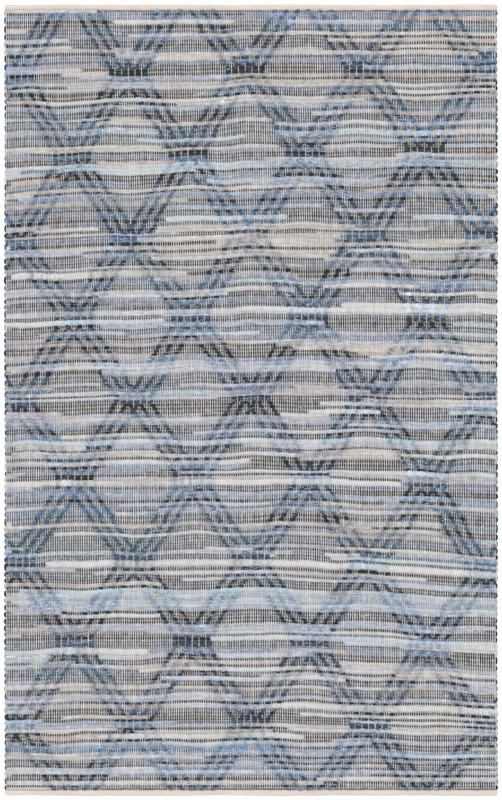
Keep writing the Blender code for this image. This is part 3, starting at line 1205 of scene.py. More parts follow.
@dataclass(frozen=True)
class RagSurface:
    """What the finishes of all rags share.

    Places are in metres along a rag, and from -1 at one edge to 1 at the other across it.

    Attributes:
        half_width: Half a rag's usual width.
        twill_rib: From one slanting rib of twill to the next.
        twill_slant: How far a rib moves along the rag for each metre across it.
        knit_rib: From one rib of a knit to the next.
        plain_thread: From one thread of plain cloth to the next.
        blotch: Long worn and dark places.
        mottle: Short ones.
        strand: Lighter and darker strands that run along the rag.
        fibre: Its fibres.
        speck: Its pale cross threads.
        crease: Its folds, which run where this noise crosses its middle.
        fold: How far from there a fold reaches; the fold is darkened with painted shade.
        turned: Where its inside shows.
        inside_colour: The colour of denim's inside, linear.
        fleck_colour: The colour of its cross threads, linear.
        brighten: How strong the light places are, against the dark ones.
        tied_painted_shade: Painted shade under the warp: how much light a tied rag keeps, before its
            cloth's part.
        tied_share: How large that part is, of the cloth's own shaded share.
        edge_painted_shade: Painted shade at its edges, where two rows meet: how much light they keep.
        sheen: How much soft light its nap catches.
    """

    half_width: float = 0.006
    twill_rib: float = 0.0013
    twill_slant: float = 1.6
    knit_rib: float = 0.0016
    plain_thread: float = 0.0012
    blotch: Grain = Grain((45, 0.6, 1), 0.3, 0.7)
    mottle: Grain = Grain((190, 1.6, 1), 0.3, 0.7, rough=0.6)
    strand: Grain = Grain((20, 3.0, 1), 0.36, 0.64, detail=1)
    fibre: Grain = Grain((160, 6.0, 1), 0.25, 0.75)
    speck: Grain = Grain((330, 5.0, 1), 0.48, 0.62)
    crease: Grain = Grain((60, 2.4, 1), rough=0.4)
    fold: float = 0.055
    turned: Grain = Grain((75, 0.9, 1), 0.56, 0.62)
    inside_colour: Vector3 = as_linear(152, 170, 192)
    fleck_colour: Vector3 = as_linear(208, 214, 220)
    brighten: float = 0.75
    tied_painted_shade: float = 0.80
    tied_share: float = 0.2
    edge_painted_shade: float = 0.46
    sheen: float = 0.10

    PINCH_DEPTH: ClassVar[float] = 0.0009
    FOLD_DEPTH: ClassVar[float] = 0.0006
    FIBRE_DEPTH: ClassVar[float] = 0.0005
    THREAD_DEPTH: ClassVar[float] = 0.00012

    def _threads(self, graph: Graph, weave: Weave, along: Socket, side: Socket) -> Socket:
        """Draws a rag's own threads.

        Args:
            graph: The material's nodes.
            weave: How the cloth is made.
            along: The place along the rag.
            side: The place across it.

        Returns:
            The threads' height, 0 to 1.
        """
        across = graph.math("MULTIPLY", side, self.half_width)
        if weave is Weave.TWILL:
            slant = graph.math("ADD", along, graph.math("MULTIPLY", across, self.twill_slant))
            return graph.wave(slant, self.twill_rib)
        if weave is Weave.KNIT:
            return graph.wave(across, self.knit_rib)
        waves = (graph.wave(value, self.plain_thread) for value in (along, across))
        return graph.product(*waves)

    def material(self, finish: RagFinish) -> bpy.types.Material:
        """Makes the finish of one kind of rag, pinched by each warp line that ties it down, with
        painted shade where the warp pinches and ties it, in its folds and along its edges.

        Args:
            finish: The kind.

        Returns:
            The material.
        """
        graph = Graph(finish.cloth.value)
        place, along, side = graph.strip_place()
        threads = self._threads(graph, finish.weave, along, side)
        blotch = graph.noise(place, self.blotch)
        mottle = graph.noise(place, self.mottle)
        strand = graph.noise(place, self.strand)
        fibre = graph.noise(place, self.fibre)
        speck = graph.noise(place, self.speck)
        crease = graph.noise(place, self.crease)
        turned = graph.noise(place, self.turned)
        crossing = graph.math("ABSOLUTE", graph.math("SUBTRACT", crease, 0.5))
        fold = graph.ramp(crossing, 0.0, self.fold)
        turn = graph.math("MULTIPLY", graph.attribute("warp_line", "Fac"), math.pi)
        open_way = graph.math("ABSOLUTE", graph.math("SINE", turn))
        tied = graph.attribute("tied", "Fac")
        pinch = graph.math("MULTIPLY", tied, graph.math("SUBTRACT", 1.0, open_way))
        puff = graph.math("SUBTRACT", 1.0, pinch)

        dim, bright = 1 - finish.patchy, 1 + self.brighten * finish.patchy
        slight = finish.patchy / 2
        # light: the rag's own random tone, times painted shade in its folds and where the warp pinches
        # and ties it
        light = graph.product(
            graph.shade(blotch, self.blotch, dim, bright),
            graph.shade(mottle, self.mottle, dim, bright),
            graph.shade(strand, self.strand, dim, bright),
            graph.shade(fibre, self.fibre, 1 - slight, 1 + slight),
            # painted shade: the rag is darker in its fold creases
            graph.ramp(fold, 0, 1, dim, 1.0),
            # painted shade: the rag darkens towards each warp line that pinches it
            graph.ramp(puff, 0, 1, finish.shaded, 1.0),
            # painted shade: where the warp ties the rag down it is darker, as if shadowed by the warp
            graph.ramp(tied, 0, 1, 1.0, self.tied_painted_shade + self.tied_share * finish.shaded),
        )
        inside = graph.shade(turned, self.turned, 0.0, finish.inside)
        face = graph.mix(inside, graph.attribute("rag_colour", "Color"), self.inside_colour)
        from_middle = graph.math("ABSOLUTE", side)
        colour = graph.scaled(face, light)
        # painted shade: the rag darkens towards its edges, in the valley between rows
        colour = graph.scaled(colour, graph.ramp(from_middle, 0.50, 1.0, 1.0, self.edge_painted_shade))
        edge = graph.ramp(from_middle, 0.45, 0.80, 0.25, 1.0)
        pale = graph.shade(speck, self.speck, 0.0, 1.0)
        colour = graph.mix(graph.product(pale, edge, finish.fleck), colour, self.fleck_colour)
        rough = graph.roughness(fibre, 0.82, 0.96)
        coarse = (puff, self.PINCH_DEPTH), (fold, self.FOLD_DEPTH)
        fine = (fibre, self.FIBRE_DEPTH), (threads, self.THREAD_DEPTH)
        return graph.finish(colour, rough, graph.bumps(*coarse, *fine), self.sheen)


RAG_SURFACE = RagSurface()


@dataclass(frozen=True)
class CottonFinish:
    """Plain cream cotton, as the warp, the headings and the stitches have it.

    Attributes:
        name: The material's name.
        colour: Its usual colour, linear.
        soiled: The colour it strays to, linear.
        thread: The width of a thread in it.
        round: How rounded a strip of it is across, in metres.
        plied: Whether it is one twisted cord rather than woven cloth.
        cloud: Where it is soiled.
        sheen: How much soft light its nap catches.
    """

    name: str
    colour: Vector3
    soiled: Vector3
    thread: float
    round: float
    plied: bool
    cloud: Grain = Grain((9, 4, 1), 0.3, 0.75, detail=3)
    sheen: float = 0.15

    @property
    def fuzz(self) -> Grain:
        """Its fibres, drawn out along a cord."""
        return Grain((500, 60 if self.plied else 500, 1), 0.2, 0.8)

    def material(self) -> bpy.types.Material:
        """Makes the material."""
        graph = Graph(self.name)
        place, along, side = graph.strip_place()
        if self.plied:
            slant = graph.math("ADD", along, graph.math("MULTIPLY", side, self.thread))
            threads = graph.wave(slant, 2 * self.thread)
        else:
            waves = (graph.wave(value, 2 * self.thread) for value in (along, side))
            threads = graph.product(*waves)
        cloud = graph.noise(place, self.cloud)
        fuzz = graph.noise(place, self.fuzz)
        own = graph.attribute("rag_colour", "Color")
        colour = graph.mix(graph.shade(cloud, self.cloud, 0.0, 0.9), own, self.soiled)
        # painted shade: the cotton is darker in the grooves between its threads, on top of its random
        # fibre tone
        light = graph.product(
            graph.shade(fuzz, self.fuzz, 0.92, 1.06), graph.ramp(threads, 0, 1, 0.90, 1.03)
        )
        layers = [(threads, 0.0003), (fuzz, 0.0001)]
        if self.round:
            dome = graph.math("SUBTRACT", 1.0, graph.math("MULTIPLY", side, side))
            layers.insert(0, (dome, self.round))
        rough = graph.roughness(cloud, 0.84, 0.94)
        return graph.finish(graph.scaled(colour, light), rough, graph.bumps(*layers), self.sheen)


WARP_COTTON = CottonFinish(
    "warp_cotton", as_linear(220, 213, 208), as_linear(196, 191, 189),
    thread=0.0009, round=0.0006, plied=True,
)
HEADING_COTTON = CottonFinish(
    "heading_cotton", as_linear(214, 200, 190), as_linear(205, 189, 177),
    thread=0.0006, round=0.0, plied=False,
)
STITCH_COTTON = CottonFinish(
    "stitch_cotton", as_linear(236, 226, 216), as_linear(226, 214, 202),
    thread=0.0003, round=0.0003, plied=True,
)


@dataclass(frozen=True)
class ThreadFinish:
    """The finish of loose threads, which keep their rags' colours.

    Attributes:
        name: The material's name.
        fuzz: Their fibres.
        sheen: How much soft light they catch.
    """

    name: str = "loose_threads"
    fuzz: Grain = Grain((300, 2, 1), 0.2, 0.8)
    sheen: float = 0.3

    def material(self) -> bpy.types.Material:
        """Makes the material."""
        graph = Graph(self.name)
        place, _, _ = graph.strip_place()
        fuzz = graph.noise(place, self.fuzz)
        light = graph.shade(fuzz, self.fuzz, 0.85, 1.1)
        colour = graph.scaled(graph.attribute("rag_colour", "Color"), light)
        rough = graph.roughness(fuzz, 0.85, 0.95)
        return graph.finish(colour, rough, graph.bumps((fuzz, 0.0002)), self.sheen)


@dataclass(frozen=True)
class BackFinish:
    """The rug's back: each rag's colour under the warp, which covers it where it floats on top.

    Places are counted in rows along the rug and in warp lines across it.

    Attributes:
        name: The material's name.
        warp: The warp's colour, linear.
        blotch: Lighter and darker places.
        reach: Half a warp line's width where it is widest.
        waist: How much of that it lacks where it is narrowest.
        loose: How much wider it is under a float.
        soft: Over how much of its width its edge fades.
        relief: How far the warp stands out.
        sheen: How much soft light its nap catches.
    """

    name: str = "rug_back"
    warp: Vector3 = as_linear(214, 201, 186)
    blotch: Grain = Grain((0.7, 0.9, 1), 0.25, 0.75, detail=3)
    reach: float = 0.34
    waist: float = 0.14
    loose: float = 0.12
    soft: float = 0.05
    relief: float = 0.0009
    sheen: float = 0.2

    def material(self) -> bpy.types.Material:
        """Makes the material."""
        graph = Graph(self.name)
        place, row, line = graph.strip_place()
        from_half = graph.math("SUBTRACT", graph.math("FRACT", line), 0.5)
        beside = graph.math("ABSOLUTE", from_half)
        between = graph.wave(graph.math("ADD", row, 0.25), 1.0)
        floats = graph.math("SUBTRACT", 1.0, graph.attribute("tied", "Fac"))
        reach = graph.math("MULTIPLY_ADD", between, -self.waist, self.reach)
        reach = graph.math("MULTIPLY_ADD", floats, self.loose, reach)
        cover = graph.ramp(beside, graph.math("SUBTRACT", reach, self.soft), reach, 1.0, 0.0)
        blotch = graph.noise(place, self.blotch)
        light = graph.shade(blotch, self.blotch, 0.8, 1.2)
        rag = graph.scaled(graph.attribute("rag_colour", "Color"), light)
        colour = graph.mix(cover, rag, self.warp)
        rough = graph.roughness(blotch, 0.84, 0.94)
        return graph.finish(colour, rough, graph.bumps((cover, self.relief)), self.sheen)


# ---- the rug's pieces


def put_on_rug(obj: bpy.types.Object, slot: str, *nodes: str) -> bpy.types.Object:
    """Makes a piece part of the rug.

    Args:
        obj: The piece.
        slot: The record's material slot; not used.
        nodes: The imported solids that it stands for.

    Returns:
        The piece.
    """
    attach(obj, "root")
    if nodes:
        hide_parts(*nodes)
    log.info("%s: %d faces", obj.name, len(obj.data.polygons))
    return obj


@dataclass
class Weft:
    """The rags, woven to and fro in rows, with a turn round each selvedge.

    Widths are shares of a row's own depth.

    Attributes:
        layout: Where the rows run.
        plan: Which rag goes where.
        seed: The seed of what is left to chance.
        crest: A rag's height where the warp ties it down.
        valley: The height where two rows meet.
        float_rise: How much higher it is where it floats.
        edge_rise: How much higher its edges are there.
        end_plump: How much of both a float's ends have.
        pinch_drop: How much lower it is beside a float.
        swell_rise: How much higher one of double depth is.
        girth_rise: How much higher one of double girth is.
        lean: How far a float's ends lie up and down from its middle.
        tied_width: A tied rag's width.
        pinched_width: Its width beside a float.
        end_width: Its width at a float's end.
        float_width: Its width where it floats.
        fat_cut: How much narrower one of double depth is.
        overlap: Warp lines over which a rag's end lies on the next rag.
        end_drop: How far it sinks.
        tuck_drop: How much further every second one does.
        denim_share: How much of its denim strip's colour a float has.
        denim_between: How much of that the places beside it have.
        denim_near: How far these reach, in half steps.
        denim_lift: How much lighter the strip is in a white rag.
        pale: The most that a rag counts as white, for this and the next two.
        pale_cut: How much less of it a white rag's floats show.
        pale_dim: How much darker they are.
        dark: How light a rag has to be to show its strip fully.
        dark_keep: The least share of it that a darker rag shows.
        whitest: The lightest that any place on a rag is.
        selvedge: How far rows run past the last warp line, in warp lines.
        turn_reach: Half a rag's width in its turn round the selvedge.
        turn_steps: Steps round a turn.
        turn_stray: How far it stands out or in by chance.
        turn_drop: How much lower its crest is.
        turn_edges: How much lower its inner and outer edges are.
        row_shift: How far every second row's grain is moved along.
        rag_shift: How far each rag's is, from the last one's.
    """

    layout: Layout
    plan: RagPlan
    seed: int = 23
    crest: float = 0.0068
    valley: float = 0.0042
    float_rise: float = 0.0024
    edge_rise: float = 0.0008
    end_plump: float = 0.62
    pinch_drop: float = 0.0010
    swell_rise: float = 0.0012
    girth_rise: float = 0.0040
    lean: float = 0.0009
    tied_width: float = 1.06
    pinched_width: float = 0.90
    end_width: float = 1.12
    float_width: float = 1.42
    fat_cut: float = 0.30
    overlap: int = 2
    end_drop: float = 0.0006
    tuck_drop: float = 0.0014
    denim_share: float = 0.46
    denim_between: float = 0.45
    denim_near: int = 3
    denim_lift: float = 2.8
    pale: float = 0.6
    pale_cut: float = 0.35
    pale_dim: float = 0.42
    dark: float = 0.05
    dark_keep: float = 0.35
    whitest: float = 0.72
    selvedge: float = 0.25
    turn_reach: float = 0.0034
    turn_steps: int = 8
    turn_stray: float = 0.0006
    turn_drop: float = 0.0010
    turn_edges: Span = (0.0008, 0.0036)
    row_shift: float = 3.1
    rag_shift: float = 0.37

    SIDES: ClassVar[np.ndarray] = np.array([-1, -0.62, 0, 0.62, 1])
    ARCH: ClassVar[np.ndarray] = np.array([0, 0.68, 1, 0.68, 0])
    END_SHARES: ClassVar[tuple[float, ...]] = (0.35, 0.60, 0.82, 0.94)
    TOP_SWAY: ClassVar[Sway] = Sway(0.0004, 5)
    WIDTH_SWAYS: ClassVar[tuple[Sway, ...]] = (Sway(0.22, 3), Sway(0.14, 16))
    SHARE_SWAY: ClassVar[Sway] = Sway(0.8, 4)
    DENIM_SWAY: ClassVar[Sway] = Sway(0.5, 5)
    TONE_SWAY: ClassVar[Sway] = Sway(0.30, 40)
    LINE_SWAY: ClassVar[Sway] = Sway(0.0008, 5)

    def __post_init__(self) -> None:
        """Works out the centre line, height, width and colour of every row."""
        layout = self.layout
        self.dice = np.random.default_rng(self.seed)
        end = layout.lines_a_side + self.selvedge
        self.places = np.concatenate([[-end], layout.half_steps, [end]])
        self.x = self.places * layout.pitch
        self.gap = layout.gap_at(self.places)
        self.lines = layout.row_lines(self.x)
        self.floated, leans = (np.pad(part, ((0, 0), (1, 1))) for part in layout.floats())
        self.kept = self.floated == FLOAT_END
        self.kept[:, 1:-1:2] = True
        self.kept[:, [0, -1]] = True
        self._shape_rows()
        self._colour_rows()
        sway = self.LINE_SWAY.over(self.dice, self.floated.shape)
        self.centre = self.lines[1::2] + self.lean * leans + sway

    def _shape_rows(self) -> None:
        """Works out how high and wide the rags lie at every place."""
        layout, floated = self.layout, self.floated
        swell = layout.swells(self.x)
        plump = np.where(floated == FLOAT_END, self.end_plump, floated)
        beside = np.zeros(floated.shape)
        beside[:, 3:-3] = np.maximum(floated[:, 1:-5], floated[:, 5:-1])
        pinch = beside * (floated == 0)
        girths = np.array([finish.girth for finish in FINISHES])[self.plan.cloth[:, self.gap]]
        self.edge = self.valley + self.edge_rise * plump
        self.top = self.crest + layout.lifts()[:, None] + self.swell_rise * swell
        self.top += self.float_rise * plump - self.pinch_drop * pinch
        self.top += self.TOP_SWAY.over(self.dice, floated.shape) + self.girth_rise * (girths - 1)
        width = np.select(
            [pinch > 0, floated == 1, floated == FLOAT_END],
            [self.pinched_width, self.float_width, self.end_width],
            self.tied_width,
        )
        for sway in self.WIDTH_SWAYS:
            width = width + sway.over(self.dice, floated.shape)
        depth = self.lines[:-2:2] - self.lines[2::2]
        self.reach = depth / 2 * girths * width / (1 + self.fat_cut * np.maximum(swell, 0))

    def _colour_rows(self) -> None:
        """Works out where the denim strips show, their colour, and how the rags' tone sways."""
        dice, size = self.dice, self.floated.shape
        shifts = range(-self.denim_near, self.denim_near + 1)
        around = np.maximum.reduce([np.roll(self.floated, shift, axis=1) for shift in shifts])
        share = self.denim_share * np.maximum(self.floated, self.denim_between * around)
        self.strip_share = np.clip(share * (1 + self.SHARE_SWAY.over(dice, size)), 0, 1)
        denim_tone = 1 + self.DENIM_SWAY.over(dice, size)
        self.denim = self.plan.denim[:, self.gap] * denim_tone[:, :, None]
        self.tone = 1 + self.TONE_SWAY.over(dice, size)

    def _sections(self, row: int) -> np.ndarray:
        """The points of a whole row: stations by points across by three."""
        points = np.empty((len(self.x), len(self.SIDES), 3))
        points[:, :, 0] = self.x[:, None]
        points[:, :, 1] = self.centre[row][:, None] + self.reach[row][:, None] * self.SIDES
        rise = (self.top[row] - self.edge[row])[:, None]
        points[:, :, 2] = self.edge[row][:, None] + rise * self.ARCH
        return points

    def _colours(self, row: int, chosen: np.ndarray, rag: int) -> np.ndarray:
        """Colours part of a rag, with its denim strip where it floats.

        Args:
            row: The row.
            chosen: The part's stations.
            rag: The rag's number.

        Returns:
            One colour a station, linear.
        """
        own = np.array(self.plan.colours[rag])
        pale = min(own.mean(), self.pale)
        held = min(1.0, max(self.dark_keep, own.mean() / self.dark))
        share = self.strip_share[row, chosen, None] * (1 - self.pale_cut * pale) * held
        denim = self.denim[row, chosen] * (1 + self.denim_lift * pale)
        tone = self.tone[row, chosen] * (1 - self.pale_dim * pale * self.floated[row, chosen])
        return np.minimum((own + (denim - own) * share) * tone[:, None], self.whitest)

    def _add_row(self, row: int) -> None:
        """Adds one row's rags, each lying on the next where it ends."""
        sections = self._sections(row)
        rags, last = self.plan.rag[row], self.layout.gaps
        ends = [0, *(np.flatnonzero(np.diff(rags)) + 1), last]
        for number, (start, stop) in enumerate(zip(ends, ends[1:], strict=False)):
            low = 0 if start == 0 else 1 + 2 * max(0, start - self.overlap)
            high = len(self.x) - 1 if stop == last else 1 + 2 * min(last, stop + self.overlap)
            chosen = np.flatnonzero(self.kept[row, low : high + 1]) + low
            points = sections[chosen].copy()
            if start != 0:
                self._taper(points, number % 2)
            if stop != last:
                self._taper(points[::-1], number % 2)
            colours = self._colours(row, chosen, rags[start])[:, None]
            tied = 1 - self.floated[row, chosen, None]
            strip = Strip(points, self.x[chosen], self.SIDES, colours, tied)
            self._add_strip(row, rags[start], strip)

    def _taper(self, points: np.ndarray, under: int) -> None:
        """Thins a rag's end over a few stations, and tucks every second one under the next.

        Args:
            points: The rag's points, from that end on.
            under: 1 where it lies under its neighbour.
        """
        for station, share in enumerate(self.END_SHARES[: len(points) // 2]):
            middle = points[station, 2].copy()
            points[station] = middle + (points[station] - middle) * np.array([1, share, 1])
            points[station, :, 2] -= (1 - share) * (self.end_drop + self.tuck_drop * under)

    def _add_strip(self, row: int, rag: int, strip: Strip) -> None:
        """Adds a strip to its cloth's mesh, with a grain of its own."""
        strip.along = strip.along + self.row_shift * (row % 2) + self.rag_shift * rag
        self.meshes[self.plan.kinds[rag]].strips.append(strip)

    def _add_turn(self, row: int, side: int, bulge: float) -> None:
        """Adds the turn of a rag round a selvedge, from one row back into the next.

        Args:
            row: The first of the two rows.
            side: -1 for the left selvedge, 1 for the right one.
            bulge: How far it stands out more than the others.
        """
        end = -1 if side > 0 else 0
        high, low = self.centre[row, end], self.centre[row + 1, end]
        middle = (high + low) / 2
        start = abs(self.x[end])
        drift = self.layout.selvedge_drift(np.array(middle), side)
        out = self.layout.half_width - drift + bulge - self.turn_reach - start
        turn = np.linspace(0, math.pi, self.turn_steps + 1)
        swing = np.sin(turn)
        away = np.stack([swing, np.cos(turn)], -1)
        spine = np.stack([start + out * swing, middle + (high - low) / 2 * np.cos(turn)], -1)
        first, last = self.reach[row, end], self.reach[row + 1, end]
        plain = first + (last - first) * turn / math.pi
        reach = plain + (self.turn_reach - plain) * swing
        flat = spine[:, None] + away[:, None] * (reach[:, None] * self.SIDES)[:, :, None]
        tops = self.top[row, end] + (self.top[row + 1, end] - self.top[row, end]) * turn / math.pi
        tops = tops - self.turn_drop * swing
        inner, outer = self.turn_edges
        edges = self.valley - swing[:, None] * (inner + (outer - inner) * np.clip(self.SIDES, 0, 1))
        heights = edges + (tops[:, None] - edges) * self.ARCH
        points = np.concatenate([flat, heights[:, :, None]], axis=2)
        points[:, :, 0] *= side
        if side < 0:
            points = points[::-1]
        rag = self.plan.rag[row, end]
        colour = np.array(self.plan.colours[rag])
        along = start + reach.mean() * turn
        self._add_strip(row, rag, Strip(points, along, self.SIDES, colour))

    def build(self) -> list[bpy.types.Object]:
        """Builds one piece of every kind of rag."""
        self.meshes = [StripMesh(finish.cloth.value, self.layout) for finish in FINISHES]
        for row in range(self.layout.rows):
            self._add_row(row)
        dice = random.Random(self.seed)
        for row in range(0, self.layout.rows, 2):
            for side in (-1, 1):
                self._add_turn(row, side, dice.uniform(-self.turn_stray, self.turn_stray))
        return [
            put_on_rug(mesh.build(RAG_SURFACE.material(finish)), "rag_weave")
            for finish, mesh in zip(FINISHES, self.meshes, strict=True)
        ]


@dataclass
class Warp:
    """The cream warp lines, over every rag that they tie down and under every one that floats.

    Attributes:
        weft: The rags.
        seed: The seed of what is left to chance.
        over: How far a line's middle lies above the rag it ties down.
        under: Its height below a rag that floats.
        valley: Its height between two rows.
        end_height: Its height at the headings.
        crest_reach: Half its width on top of a row.
        valley_reach: Half its width between two rows, where its two cords cross.
        beside_share: How much of its width it keeps beside a float.
        tone_spread: How much lighter or darker one line is than the next, as a share.
        line_shift: How far each line's grain is moved along from the last one's.
    """

    weft: Weft
    seed: int = 41
    over: float = 0.0008
    under: float = 0.0036
    valley: float = 0.0060
    end_height: float = 0.0040
    crest_reach: float = 0.00084
    valley_reach: float = 0.00150
    beside_share: float = 0.78
    tone_spread: float = 0.06
    line_shift: float = 0.61

    SIDES: ClassVar[np.ndarray] = np.array([-1.0, 1.0])
    STRAY: ClassVar[Sway] = Sway(0.0004, 9)
    HEIGHT_SWAY: ClassVar[Sway] = Sway(0.0002, 3)
    WIDTH_SWAY: ClassVar[Sway] = Sway(0.34, 3)
    TONE_SWAY: ClassVar[Sway] = Sway(0.12, 5)

    def __post_init__(self) -> None:
        """Reads where the lines run, and where the rags float over them."""
        self.floated = self.weft.floated[:, 1:-1:2] == 1
        self.y = self.weft.lines[:, 1:-1:2]

    def _heights(self) -> np.ndarray:
        """How high the lines' middles lie: one row a place along them and one column a line."""
        floated = self.floated
        height = np.full(self.y.shape, self.valley)
        tops = self.weft.top[:, 1:-1:2]
        height[1::2] = np.where(floated, self.under, tops + self.over)
        between = floated[:-1] & floated[1:]
        height[2:-1:2] = np.where(between, self.under, self.valley)
        height[[0, -1]] = self.end_height
        return height

    def _reaches(self) -> np.ndarray:
        """Half of the lines' widths: one row a place along them and one column a line."""
        beside = np.zeros(self.floated.shape, bool)
        beside[:, 1:-1] = self.floated[:, 2:] | self.floated[:, :-2]
        reach = np.full(self.y.shape, self.valley_reach)
        reach[1::2] = self.crest_reach
        reach[1:] *= np.repeat(np.where(beside, self.beside_share, 1.0), 2, axis=0)
        return reach

    def build(self) -> list[bpy.types.Object]:
        """Builds the lines as two pieces, every second line in each."""
        weft, layout = self.weft, self.weft.layout
        dice = np.random.default_rng(self.seed)
        y = self.y
        x = weft.x[1:-1:2] + self.STRAY.over(dice, y.T.shape).T
        height = self._heights() + self.HEIGHT_SWAY.over(dice, y.shape)
        reach = self._reaches() * (1 + self.WIDTH_SWAY.over(dice, y.T.shape).T)
        tones = 1 + dice.normal(0, self.tone_spread, y.shape[1])
        tone_sway = self.TONE_SWAY.over(dice, y.T.shape)
        pieces = []
        for name, first in (("warp_lines_a", 0), ("warp_lines_b", 1)):
            mesh = StripMesh(name, layout)
            for line in range(first, y.shape[1], 2):
                points = np.empty((len(y), 2, 3))
                points[:, :, 0] = x[:, line, None] + reach[:, line, None] * self.SIDES
                points[:, :, 1] = y[:, line, None]
                points[:, :, 2] = height[:, line, None]
                along = -y[:, line] + self.line_shift * line
                tone = tones[line] + tone_sway[line]
                colour = tone[:, None, None] * np.array(WARP_COTTON.colour)
                mesh.strips.append(Strip(points, along, self.SIDES, colour))
            pieces.append(put_on_rug(mesh.build(WARP_COTTON.material()), "rag_weave"))
        return pieces


@dataclass
class Back:
    """The rug's back, ribbed by its rows: the whole field as one cloth, which the rags lie on.

    Attributes:
        weft: The rags.
        line_step: Warp lines from one column of points to the next.
        low: The height of a row's middle.
        high: The height where two rows meet.
        inset: From the selvedge's outermost turn to the cloth's edge.
    """

    weft: Weft
    line_step: int = 3
    low: float = 0.0003
    high: float = 0.0020
    inset: float = 0.0062

    def build(self) -> bpy.types.Object:
        """Builds the back."""
        plan, layout = self.weft.plan, self.weft.layout
        side = layout.half_width - self.inset
        columns = np.arange(-layout.lines_a_side, layout.lines_a_side + 1, self.line_step)
        x = np.concatenate([[side], columns[::-1] * layout.pitch, [-side]])
        y = layout.row_lines(x)
        height = np.full(y.shape, self.high)
        height[1::2] = self.low
        height[:, [0, -1]] = (self.low + self.high) / 2
        points = np.stack([np.broadcast_to(x, y.shape), y, height], axis=-1)
        line = x / layout.pitch
        gap = layout.gap_at(line)
        row = np.minimum(np.arange(len(y)) // 2, layout.rows - 1)
        colours = np.array(plan.colours)[plan.rag[row][:, gap]]
        floated = layout.floats()[0][:, ::2] == 1
        tied = 1.0 - floated[row][:, gap]
        mesh = StripMesh("rug_back", layout)
        mesh.strips.append(Strip(points, np.arange(len(y)) / 2, line, colours, tied))
        return put_on_rug(mesh.build(BackFinish().material()), "rag_weave", "rag_field")


class FoldPoint(NamedTuple):
    """A point of a folded heading's section: how far out from the weave, and its height."""

    out: float
    height: float


class Wave(NamedTuple):
    """A wave along a heading: its reach to either side, and its length."""

    reach: float
    length: float


